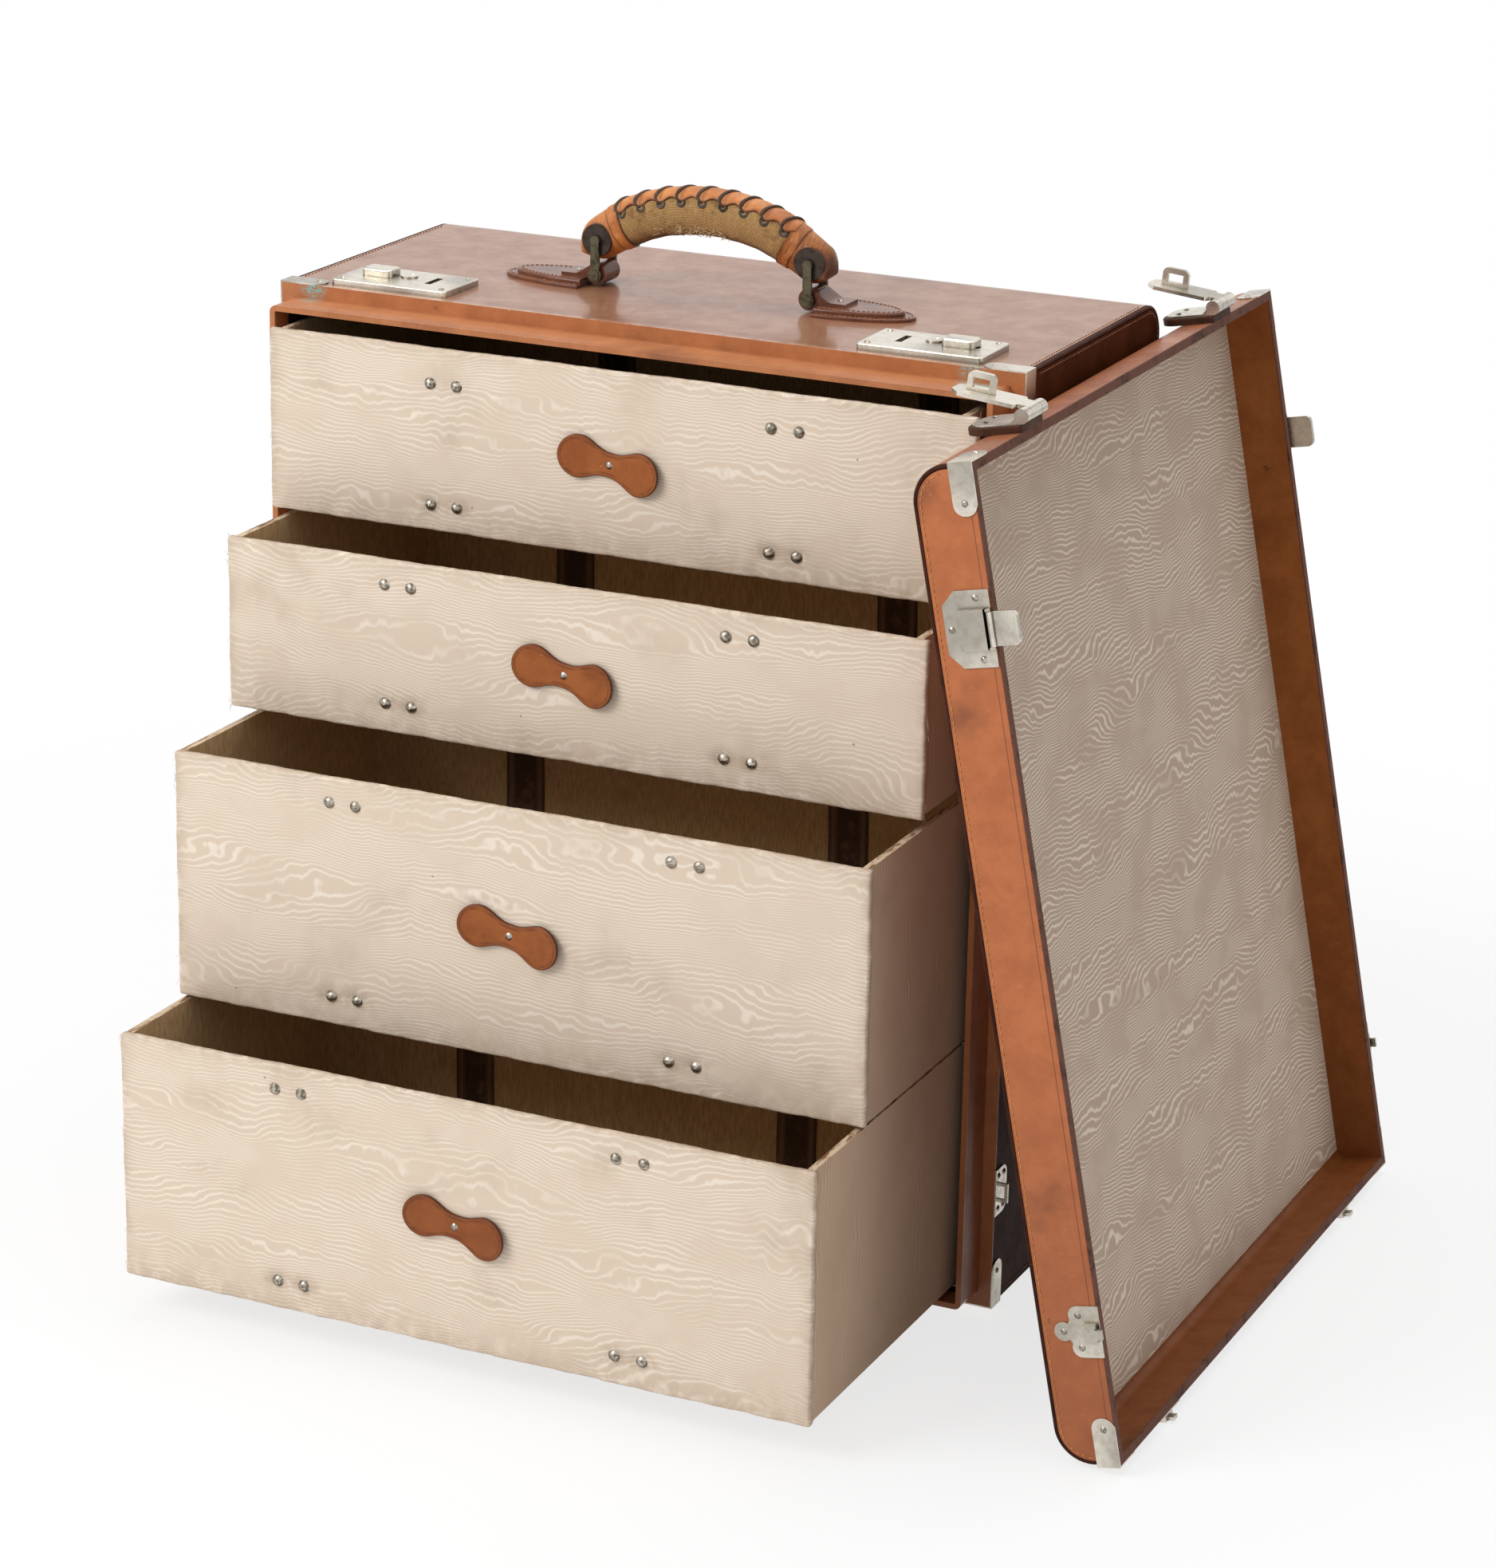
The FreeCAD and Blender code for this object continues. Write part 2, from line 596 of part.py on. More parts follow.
def lock_plate(shanks):
    """Right-hand lock plate, with its slot, its keyhole and the track of its button."""
    near, far = RIM + LOCK_FROM_RIM, RIM + LOCK_FROM_RIM + LOCK_WIDTH
    end = LOCK_FROM_MIDDLE + LOCK_LENGTH
    plate = prism([(LOCK_FROM_MIDDLE, near, LOCK_CORNER), (end, near, LOCK_CORNER),
                   (end, far, LOCK_CORNER), (LOCK_FROM_MIDDLE, far, LOCK_CORNER)],
                  Vector(0, 0, TOP), X_AXIS, Y_AXIS, LOCK_THICKNESS)
    plate = soften(plate, TOP + LOCK_THICKNESS, LOCK_EDGE_ROUND)
    through = (TOP - OVER, TOP + LOCK_THICKNESS + OVER)
    slot = box((SLOT_FROM_MIDDLE - SLOT_WIDTH / 2, SLOT_FROM_MIDDLE + SLOT_WIDTH / 2),
               (LOCK_Y - SLOT_LENGTH / 2, LOCK_Y + SLOT_LENGTH / 2), through)
    keyhole_y = RIM + KEYHOLE_FROM_RIM
    keyhole = box((KEYHOLE_FROM_MIDDLE - KEYHOLE_WIDTH / 2, KEYHOLE_FROM_MIDDLE + KEYHOLE_WIDTH / 2),
                  (keyhole_y - KEYHOLE_LENGTH, keyhole_y), through)
    low = BUTTON_FROM_MIDDLE - STEM_LENGTH / 2 - SLIDE_PLAY
    high = BUTTON_FROM_MIDDLE + STEM_LENGTH / 2 + BUTTON_TRAVEL + SLIDE_PLAY
    half = STEM_WIDTH / 2 + SLIDE_PLAY
    track = box((low, high), (LOCK_Y - half, LOCK_Y + half), through)
    pin_hole = rod(KEY_COVER_PIN_RADIUS + RUNNING, cover_pin() - Z_AXIS * OVER,
                   cover_pin() + Z_AXIS * (LOCK_THICKNESS + OVER))
    return minus(plate, [slot, keyhole, track, pin_hole] + shanks)


def lock_case():
    """Right-hand lock case, let into the wood, open at the top under its plate."""
    outer = lock_pocket()
    y_range = (LOCK_Y - LOCK_CASE_WIDTH / 2 + LOCK_CASE_WALL, LOCK_Y + LOCK_CASE_WIDTH / 2 - LOCK_CASE_WALL)
    x_range = (LOCK_CASE_START + LOCK_CASE_WALL, LOCK_CASE_END - LOCK_CASE_WALL)
    return outer.cut(box(x_range, y_range, (TOP - LOCK_CASE_FLOOR + LOCK_CASE_WALL, TOP + OVER)))


def lock_button():
    """Right-hand button with its stem and the bolt that holds the staple."""
    cap_low = TOP + LOCK_THICKNESS + RUNNING
    cap_high = TOP + LOCK_THICKNESS + BUTTON_HEIGHT
    half_x, half_y = BUTTON_LENGTH / 2, BUTTON_WIDTH / 2
    corners = [(-half_x, -half_y), (half_x, -half_y), (half_x, half_y), (-half_x, half_y)]
    outline = [(a, b, BUTTON_CORNER) for a, b in corners]
    cap = prism(outline, Vector(BUTTON_FROM_MIDDLE, LOCK_Y, cap_low), X_AXIS, Y_AXIS, cap_high - cap_low)
    cap = soften(cap, cap_high, BUTTON_ROUND)
    bolt_top = TOP - BOLT_BELOW_TOP
    bolt_end = BUTTON_FROM_MIDDLE + STEM_LENGTH / 2
    stem = box((BUTTON_FROM_MIDDLE - STEM_LENGTH / 2, bolt_end),
               (LOCK_Y - STEM_WIDTH / 2, LOCK_Y + STEM_WIDTH / 2), (bolt_top, cap_low + OVER))
    bolt = box((SLOT_FROM_MIDDLE - BOLT_PAST_SLOT, bolt_end),
               (LOCK_Y - BOLT_WIDTH / 2, LOCK_Y + BOLT_WIDTH / 2), (bolt_top - BOLT_THICKNESS, bolt_top))
    return cap.fuse([stem, bolt]).removeSplitter()


def cover_pin():
    """Foot of the pin that the right-hand keyhole cover swings on."""
    return Vector(KEYHOLE_FROM_MIDDLE, RIM + KEYHOLE_FROM_RIM + KEY_COVER_PIN, TOP)


def keyhole_cover():
    """Small disc over the right-hand keyhole, on a pin near its edge."""
    level = TOP + LOCK_THICKNESS + RUNNING
    centre = Vector(KEYHOLE_FROM_MIDDLE, RIM + KEYHOLE_FROM_RIM, level)
    disc = disc_prism(KEY_COVER_RADIUS, centre, Z_AXIS, KEY_COVER_THICKNESS)
    upper = LOCK_THICKNESS + RUNNING + KEY_COVER_THICKNESS
    pin = rod(KEY_COVER_PIN_RADIUS, cover_pin() + Z_AXIS * SLIDE_PLAY, cover_pin() + Z_AXIS * upper)
    head = dome(cover_pin() + Z_AXIS * upper, Z_AXIS, KEY_COVER_HEAD_RADIUS, KEY_COVER_HEAD)
    return disc.fuse([pin, head]).removeSplitter()


def trefoil_plate(middle, along, back, out):
    """Small plate with a lobe at each of its three rivets, square along the trunk's edge."""
    lobes = []
    for centre in trefoil_rivets(middle, along, back):
        lobes.append(disc_prism(HOOK_LOBE, centre, out, PLATE))
    half = HOOK_RIVET_SPREAD + HOOK_LOBE
    outline = [(-half, 0, 0), (half, 0, 0), (half, HOOK_RIVETS_FROM_EDGE, HOOK_PLATE_CORNER),
               (0, HOOK_RIVETS_FROM_EDGE + HOOK_RIVET_BACK, HOOK_PLATE_CORNER),
               (-half, HOOK_RIVETS_FROM_EDGE, HOOK_PLATE_CORNER)]
    points = [(middle + along * a + back * b, radius) for a, b, radius in outline]
    face = Part.Face(Part.Wire(rounded_edges(points, True)))
    return face.extrude(out * PLATE).fuse(lobes).removeSplitter()


def trefoil_rivets(middle, along, back):
    """Centres of the three rivets, on the surface that the plate lies on."""
    row = middle + back * HOOK_RIVETS_FROM_EDGE
    return [row + along * HOOK_RIVET_SPREAD, row - along * HOOK_RIVET_SPREAD, row + back * HOOK_RIVET_BACK]


def loop_seats():
    """Right-hand side and underside places of the loops: middle, along, back and out."""
    return [
        (Vector(HALF, RIM, LOOP_HEIGHT_CENTRE), Z_AXIS, Y_AXIS, X_AXIS),
        (Vector(HOOK_FROM_MIDDLE, RIM, 0), X_AXIS, Y_AXIS, Z_AXIS * -1)]


def loop_studs():
    """Rivets of the loop plates on the right-hand half of the case."""
    studs = []
    for middle, along, back, out in loop_seats():
        for far in LOOP_PLATE_STUDS:
            for side in (-1, 1):
                from_middle = side * (LOOP_LENGTH / 2 + LOOP_STUD_PAST)
                place = middle + along * from_middle + back * far + out * PLATE
                studs.append(stud(place, out))
    return studs


def loop_plates(shanks):
    """Plates with a square loop each, that the lid's hooks enter, on the right-hand half."""
    plates = []
    for middle, along, back, out in loop_seats():
        half = LOOP_LENGTH / 2 + LOOP_PLATE_PAST
        outline = [(-half, 0, 0), (half, 0, 0), (half, LOOP_PLATE_WIDTH, LOOP_PLATE_CORNER),
                   (-half, LOOP_PLATE_WIDTH, LOOP_PLATE_CORNER)]
        points = [(middle + along * a + back * b, radius) for a, b, radius in outline]
        base = Part.Face(Part.Wire(rounded_edges(points, True))).extrude(out * PLATE)
        bar_near = middle + back * LOOP_FROM_RIM
        solids = [base]
        half = LOOP_LENGTH / 2
        for low, high, lift_low, lift_high in (
                (-half, -half + LOOP_WIRE, 0, LOOP_RISE), (half - LOOP_WIRE, half, 0, LOOP_RISE),
                (-half, half, LOOP_RISE - LOOP_WIRE, LOOP_RISE)):
            first = bar_near + along * low + out * lift_low
            last = bar_near + along * high + back * LOOP_WIRE + out * lift_high
            solids.append(box((first.x, last.x), (first.y, last.y), (first.z, last.z)))
        plate = solids[0].fuse(solids[1:]).removeSplitter()
        plates.append(minus(plate, shanks))
    return plates


def keeper(shanks):
    """Right-hand keeper plate, which the tongue of the lid's catch lies over."""
    length, width, thickness = KEEPER
    outline = [(0, -length / 2, 0), (width, -length / 2, KEEPER_CORNER), (width, length / 2, KEEPER_CORNER),
               (0, length / 2, 0)]
    origin = Vector(HALF, RIM, CATCH_HEIGHT)
    return minus(prism(outline, origin, Y_AXIS, Z_AXIS, thickness), shanks)


def keeper_studs():
    """Rivets of the right-hand keeper."""
    length, width, thickness = KEEPER
    x, y = HALF + thickness, RIM + width - KEEPER_CORNER
    reach = length / 2 - KEEPER_CORNER
    return [stud(Vector(x, y, CATCH_HEIGHT + side * reach), X_AXIS) for side in (-1, 1)]


def feet():
    """Four flat-soled nickel feet."""
    near, far = RIM + FOOT_FROM_RIM, BACK - FOOT_FROM_RIM
    places = [(x, y) for x in (-HALF + FOOT_FROM_SIDE, HALF - FOOT_FROM_SIDE) for y in (near, far)]
    cones = []
    for x, y in places:
        start = Vector(x, y, -FOOT_HEIGHT)
        cones.append(Part.makeCone(FOOT_SOLE_RADIUS, FOOT_RADIUS, FOOT_HEIGHT, start, Z_AXIS))
    return cones


# ---- Drawers ----------------------------------------------------------------------------
def drawer_front_y(name):
    """Front face of a drawer, as it stands pulled out."""
    return RIM - DRAWER_OUT[name]


def drawer_rivets(name, level):
    """Eight rivets through a drawer's front, in pairs."""
    rivets = []
    y = drawer_front_y(name)
    for height in (level[0] + DRAWER_RIVET_FROM_BASE[name], level[1] - DRAWER_RIVET_FROM_TOP[name]):
        for from_middle in DRAWER_RIVET_PAIR:
            for side in (-1, 1):
                centre = Vector(side * from_middle, y, height)
                head = dome(centre, Y_AXIS * -1, DRAWER_RIVET_RADIUS, DRAWER_RIVET_HEIGHT)
                shank = rod(SHANK_RADIUS, centre, centre + Y_AXIS * FRONT_BOARD)
                rivets.append(head.fuse(shank).removeSplitter())
    return rivets


def drawer_pull(name, level):
    """Bow-tie of leather, riveted at its middle, its two lobes standing off the front."""
    y = drawer_front_y(name)
    centre = Vector(0, y, (level[0] + level[1]) / 2)
    reach = PULL_LENGTH / 2 - PULL_LOBE_RADIUS
    lobes = []
    for side in (-1, 1):
        lobe_centre = centre + X_AXIS * side * reach - Y_AXIS * PULL_BLANK
        lobes.append(disc_prism(PULL_LOBE_RADIUS, lobe_centre, Y_AXIS, PULL_BLANK))
    lobe, radius = PULL_LOBE_RADIUS, PULL_WAIST_RADIUS
    waist = prism([(-reach, -lobe, 0), (0, -PULL_WAIST, radius), (reach, -lobe, 0),
                   (reach, lobe, 0), (0, PULL_WAIST, radius), (-reach, lobe, 0)],
                  centre, X_AXIS, Z_AXIS, PULL_BLANK)
    outline = waist.fuse(lobes)
    bend = ((PULL_LENGTH / 2) ** 2 + PULL_STANDOFF ** 2) / (2 * PULL_STANDOFF)
    hub = centre - Z_AXIS * PULL_LENGTH / 2 - Y_AXIS * bend
    sheet = rod(bend, hub, hub + Z_AXIS * PULL_LENGTH)
    sheet = sheet.cut(rod(bend - PULL_THICKNESS, hub, hub + Z_AXIS * PULL_LENGTH))
    pull = outline.common(sheet)
    pull.rotate(centre, Y_AXIS, PULL_TILT)
    hole = rod(SHANK_RADIUS, centre - Y_AXIS * PULL_BLANK, centre)
    return pull.cut(hole)


def pull_rivet(name, level):
    """Rivet in the middle of a drawer's pull."""
    centre = Vector(0, drawer_front_y(name), (level[0] + level[1]) / 2)
    seat = centre - Y_AXIS * (PULL_THICKNESS + RUNNING)
    head = dome(seat, Y_AXIS * -1, PULL_RIVET_RADIUS, PULL_RIVET_HEIGHT)
    return head.fuse(rod(SHANK_RADIUS, seat, centre + Y_AXIS * FRONT_BOARD)).removeSplitter()


def drawer_front(name, level):
    """Stiff board front, wider than the box behind it."""
    y = drawer_front_y(name)
    half = FRONT_HALF + FRONT_WIDER[name]
    board = box((-half, half), (y, y + FRONT_BOARD), level)
    return minus(board, drawer_rivets(name, level) + [pull_rivet(name, level)])


def drawer_box(name, level):
    """Base, sides and back of a drawer."""
    start = drawer_front_y(name) + FRONT_BOARD
    end = drawer_front_y(name) + DRAWER_DEPTH
    outer = box((-BOX_HALF, BOX_HALF), (start, end), level)
    inner = BOX_HALF - BOX_SIDE
    inside = box((-inner, inner), (start - OVER, end - BOX_SIDE), (level[0] + BOX_BASE, level[1] + OVER))
    return outer.cut(inside)


# ---- Lid, drawn closed ------------------------------------------------------------------
def lid_shell(shanks):
    """Board tray of the lid."""
    half = HALF - HIDE
    outer = case_slab(RIM - LID_BINDING, LID_FACE + HIDE, HIDE, EDGE_RADIUS - HIDE, (-half, half))
    wall = LID_WALL - LID_LINING
    inner = HALF - wall
    cavity = case_slab(RIM, LID_FACE + LID_PANEL - LID_SILK, wall, LID_INNER_RADIUS + LID_LINING,
                       (-inner, inner))
    return minus(outer.cut(cavity), shanks)


def lid_inside():
    """The thin layer over the inside of the tray: walls and panel together."""
    wall = LID_WALL - LID_LINING
    inner = HALF - wall
    outer = case_slab(RIM - LID_BINDING, LID_FACE + LID_PANEL - LID_SILK, wall,
                      LID_INNER_RADIUS + LID_LINING, (-inner, inner))
    half = HALF - LID_WALL
    hollow = case_slab(RIM, LID_FACE + LID_PANEL, LID_WALL, LID_INNER_RADIUS, (-half, half))
    return outer.cut(hollow)


def lid_silk_panel():
    """Covered panel inside the lid's face."""
    layer = box((-HALF, HALF), (LID_FACE, LID_FACE + LID_PANEL), (0, TOP))
    return lid_inside().common(layer)


def lid_inner_leather():
    """Leather lining of the lid's four walls."""
    layer = box((-HALF, HALF), (LID_FACE + LID_PANEL, RIM), (0, TOP))
    return lid_inside().common(layer)


def lid_wrap(shanks):
    """Leather over the top, face and underside of the lid in one strip."""
    start = RIM - LID_BINDING
    skin = case_slab(start, LID_FACE, 0, EDGE_RADIUS, (-HALF + SEAT, HALF - SEAT))
    core = case_slab(RIM, LID_FACE + HIDE, HIDE, EDGE_RADIUS - HIDE, (-HALF, HALF))
    return minus(skin.cut(core), shanks)


def lid_side_leather(shanks):
    """Leather of the lid's two side walls."""
    start = RIM - LID_BINDING
    panel = case_slab(start, LID_FACE + SEAT, SEAT, EDGE_RADIUS - SEAT, (HALF - HIDE, HALF))
    return [minus(piece, shanks) for piece in both_sides(panel)]


def lid_binding():
    """Binding along the lid's open edge."""
    return rim_ring(0, LID_WALL, 0, (RIM - LID_BINDING, RIM))


def hasp_pad(x, shanks):
    """Leather pad under a hasp."""
    low, high = x - HASP_PAD_HALF, x + HASP_PAD_HALF
    start = LID_FACE + HASP_PAD_FROM_FACE
    outline = [(low, RIM, HASP_PAD_CORNER), (low, start, HASP_PAD_ROUND),
               (high, start, HASP_PAD_ROUND), (high, RIM, HASP_PAD_CORNER)]
    pad = prism(outline, Vector(0, 0, TOP), X_AXIS, Y_AXIS, HASP_PAD_THICKNESS)
    pad = soften(pad, TOP + HASP_PAD_THICKNESS, HASP_PAD_SOFT)
    return minus(pad, shanks)


def hasp_studs(x):
    """The two rivets of a hasp's base."""
    level = TOP + HASP_PAD_THICKNESS + HASP_BASE_THICKNESS
    y = LID_FACE + HASP_BASE_FROM_FACE + HASP_STUD_IN
    return [stud(Vector(x + side * HASP_STUD_SPREAD, y, level), Z_AXIS) for side in (-1, 1)]


def hasp_base(x, shanks):
    """Oval base of a hasp, rising to its two outer knuckles, with the hinge pin."""
    level = TOP + HASP_PAD_THICKNESS
    low, high = x - HASP_BASE_HALF, x + HASP_BASE_HALF
    start = LID_FACE + HASP_BASE_FROM_FACE
    end = RIM - KNUCKLE_RADIUS - KNUCKLE_STEP
    outline = [(low, end, 0), (low, start, HASP_BASE_ROUND), (high, start, HASP_BASE_ROUND), (high, end, 0)]
    plate = prism(outline, Vector(0, 0, level), X_AXIS, Y_AXIS, HASP_BASE_THICKNESS)
    solids = []
    for first, last in ((low, low + KNUCKLE_END), (high - KNUCKLE_END, high)):
        centre = Vector(first, RIM, HASP_AXIS_Z)
        knuckle = rod(KNUCKLE_RADIUS, centre, centre + X_AXIS * (last - first))
        foot = prism([(end - KNUCKLE_FOOT, level, 0), (RIM, level, 0), (RIM, HASP_AXIS_Z, 0),
                      (RIM - KNUCKLE_FOOT_TOP, HASP_AXIS_Z, 0)],
                     Vector(first, 0, 0), Y_AXIS, Z_AXIS, last - first)
        solids += [knuckle, foot]
    solids.append(rod(HASP_PIN_RADIUS, Vector(low, RIM, HASP_AXIS_Z), Vector(high, RIM, HASP_AXIS_Z)))
    return minus(plate.fuse(solids).removeSplitter(), shanks)


def hasp_strap(x):
    """Closed hasp: middle knuckle, strap with a cut tip, and the staple below it."""
    axis = Vector(x, RIM, HASP_AXIS_Z)
    half = HASP_BASE_HALF - KNUCKLE_END - KNUCKLE_PLAY
    knuckle = rod(KNUCKLE_RADIUS, axis - X_AXIS * half, axis + X_AXIS * half)
    under = HASP_AXIS_Z - KNUCKLE_RADIUS
    tip = RIM + HASP_LENGTH
    cut = HASP_TIP_CUT
    neck = RIM + HASP_NECK
    corner = HASP_CORNER
    outline = [(x - half, RIM, 0), (x + half, RIM, 0), (x + half, neck - HASP_SHOULDER, corner),
               (x + HASP_HALF, neck, corner), (x + HASP_HALF, tip - cut, corner),
               (x + HASP_HALF - cut, tip, corner), (x - HASP_HALF + cut, tip, corner),
               (x - HASP_HALF, tip - cut, corner), (x - HASP_HALF, neck, corner),
               (x - half, neck - HASP_SHOULDER, corner)]
    strap = prism(outline, Vector(0, 0, under), X_AXIS, Y_AXIS, HASP_THICKNESS)
    low, high = LOCK_Y - STAPLE_LENGTH / 2, LOCK_Y + STAPLE_LENGTH / 2
    loop = prism([(low, under + OVER, 0), (low, under - STAPLE_HEIGHT, STAPLE_CORNER),
                  (high, under - STAPLE_HEIGHT, STAPLE_CORNER), (high, under + OVER, 0)],
                 Vector(x - STAPLE_THICKNESS / 2, 0, 0), Y_AXIS, Z_AXIS, STAPLE_THICKNESS)
    length, height = STAPLE_OPENING
    bottom = under - STAPLE_HEIGHT + STAPLE_FRAME
    window = box((x - STAPLE_THICKNESS, x + STAPLE_THICKNESS), (LOCK_Y - length / 2, LOCK_Y + length / 2),
                 (bottom, bottom + height))
    bore = rod(HASP_PIN_RADIUS + RUNNING, axis - X_AXIS * (half + OVER), axis + X_AXIS * (half + OVER))
    return knuckle.fuse([strap, loop]).cut([window, bore]).removeSplitter()


def opened_hasp(x):
    """The hasp swung back over the lid, as it lies."""
    strap = hasp_strap(x)
    strap.rotate(Vector(x, RIM, HASP_AXIS_Z), X_AXIS, HASP_OPEN)
    return strap


def catch_plate(shanks):
    """Right-hand catch: its six-sided plate, its housing and the two ears of its pin."""
    length, width = CATCH_PLATE
    end = RIM - CATCH_FROM_EDGE
    start = end - width
    cut = CATCH_CORNER_CUT
    half = length / 2
    corner = CATCH_CORNER
    outline = [(end, -half, 0), (end, half, 0), (start + cut, half, corner), (start, half - cut, corner),
               (start, cut - half, corner), (start + cut, -half, corner)]
    plate = prism(outline, Vector(HALF, 0, CATCH_HEIGHT), Y_AXIS, Z_AXIS, PLATE)
    tall, deep, rise = HOUSING
    mouth = RIM - HOUSING_FROM_EDGE
    foot, head = CATCH_HEIGHT - tall / 2, CATCH_HEIGHT + tall / 2
    hood = box((HALF, HALF + PLATE + rise), (mouth - deep, mouth), (foot, head))
    hollow = box((HALF + PLATE, HALF + PLATE + rise - HOUSING_WALL),
                 (mouth - deep + HOUSING_WALL, mouth + OVER),
                 (foot + HOUSING_WALL, head - HOUSING_WALL))
    solids = [hood.cut(hollow)]
    pin_y = RIM - TONGUE_PIN_FROM_EDGE
    pin_x = tongue_pin_x()
    half_tongue = TONGUE_WIDTH / 2 + SLIDE_PLAY
    for side in (-1, 1):
        low = CATCH_HEIGHT + side * half_tongue
        solids.append(box((HALF, pin_x + EAR_PAST_PIN), (pin_y - EAR_BEFORE_PIN, pin_y + EAR_AFTER_PIN),
                          (low, low + side * EAR_THICKNESS)))
    pin = rod(TONGUE_PIN_RADIUS, Vector(pin_x, pin_y, CATCH_HEIGHT - half_tongue - EAR_THICKNESS),
              Vector(pin_x, pin_y, CATCH_HEIGHT + half_tongue + EAR_THICKNESS))
    solids.append(pin)
    return minus(plate.fuse(solids).removeSplitter(), shanks)


def tongue_pin_x():
    """Height of the catch's pin off the side of the trunk, as an x value."""
    return HALF + PLATE + SLIDE_PLAY + TONGUE_BARREL


def catch_studs():
    """The three rivets of the right-hand catch plate."""
    length, width = CATCH_PLATE
    end = RIM - CATCH_FROM_EDGE
    x = HALF + PLATE
    reach = length / 2 - CATCH_STUD_FROM_END
    return [stud(Vector(x, end - CATCH_STUD_FROM_RIM, CATCH_HEIGHT + reach), X_AXIS),
            stud(Vector(x, end - CATCH_STUD_FROM_RIM, CATCH_HEIGHT - reach), X_AXIS),
            stud(Vector(x, end - width + CATCH_STUD_FROM_TIP, CATCH_HEIGHT), X_AXIS)]


def catch_tongue():
    """Right-hand tongue: a barrel on the pin and a blade past the lid's edge, its tip turned out."""
    pin_y = RIM - TONGUE_PIN_FROM_EDGE
    pin_x = tongue_pin_x()
    half = TONGUE_WIDTH / 2
    foot = Vector(pin_x, pin_y, CATCH_HEIGHT - half)
    barrel = rod(TONGUE_BARREL, foot, foot + Z_AXIS * TONGUE_WIDTH)
    low = pin_x - TONGUE_BARREL
    tip = RIM + TONGUE_PAST_EDGE
    heights = (CATCH_HEIGHT - half, CATCH_HEIGHT + half)
    blade = box((low, low + TONGUE_THICKNESS), (pin_y, tip), heights)
    rounding = prism([(pin_y, -half, 0), (tip, -half, TONGUE_CORNER), (tip, half, TONGUE_CORNER),
                      (pin_y, half, 0)],
                     Vector(low, 0, CATCH_HEIGHT), Y_AXIS, Z_AXIS, TONGUE_THICKNESS + TONGUE_LIP)
    lip = box((low, low + TONGUE_THICKNESS + TONGUE_LIP), (tip - TONGUE_LIP_THICKNESS, tip), heights)
    bore = rod(TONGUE_PIN_RADIUS + RUNNING, foot - Z_AXIS * OVER, foot + Z_AXIS * (TONGUE_WIDTH + OVER))
    return barrel.fuse(blade.fuse(lip).common(rounding)).cut(bore).removeSplitter()


def hook_seats():
    """Right-hand places of the lid's hooks: middle, along, back and out."""
    return [
        (Vector(HALF, RIM, HOOK_HEIGHT), Z_AXIS, Y_AXIS * -1, X_AXIS),
        (Vector(HOOK_FROM_MIDDLE, RIM, 0), X_AXIS, Y_AXIS * -1, Z_AXIS * -1)]


def hook_studs():
    """Rivets of the hook plates on the right-hand half of the lid."""
    studs = []
    for middle, along, back, out in hook_seats():
        for place in trefoil_rivets(middle + out * PLATE, along, back):
            studs.append(stud(place, out))
    return studs


def hook_plates(shanks):
    """Plates with a hook each, on the right-hand half of the lid."""
    plates = []
    for middle, along, back, out in hook_seats():
        base = trefoil_plate(middle, along, back, out)
        first = middle + along * (-HOOK_WIDTH / 2) + back * HOOK_LENGTH
        last = middle + along * (HOOK_WIDTH / 2) + back * HOOK_FROM_EDGE + out * HOOK_RISE
        block = box((first.x, last.x), (first.y, last.y), (first.z, last.z))
        narrow = HOOK_WIDTH / 2 - HOOK_TIP_NARROWING
        first = middle + along * -narrow + back * HOOK_LENGTH + out * (HOOK_RISE - HOOK_TIP_THICKNESS)
        last = middle + along * narrow - back * HOOK_TIP_PAST + out * HOOK_RISE
        tip = box((first.x, last.x), (first.y, last.y), (first.z, last.z))
        plates.append(minus(base.fuse([block, tip]).removeSplitter(), shanks))
    return plates


# ---- Handle -----------------------------------------------------------------------------
def half_oval(reach, half_width, level, thickness, rounding):
    """Leather patch on the top, right of the middle: straight at its inner end, oval outwards."""
    ellipse = Part.Ellipse(Vector(PAD_START, HANDLE_Y, level), reach, half_width)
    patch = Part.Face(Part.Wire(ellipse.toShape())).extrude(Z_AXIS * thickness)
    outer = box((PAD_START, PAD_START + 2 * reach), (HANDLE_Y - 2 * half_width, HANDLE_Y + 2 * half_width),
                (level, level + thickness))
    return soften(patch, level + thickness, rounding).common(outer)


def handle_pads(shanks):
    """Two patches, one on the other, outside the right-hand end of the handle."""
    lower = half_oval(PAD_REACH, PAD_HALF_WIDTH, TOP, PAD_THICKNESS, PAD_SOFT)
    upper = half_oval(TOP_PAD_REACH, TOP_PAD_HALF_WIDTH, TOP + PAD_THICKNESS,
                      TOP_PAD_THICKNESS, TOP_PAD_SOFT)
    return [minus(lower, shanks), minus(upper, shanks)]


def pads_top():
    """Level of the upper patch's top."""
    return TOP + PAD_THICKNESS + TOP_PAD_THICKNESS


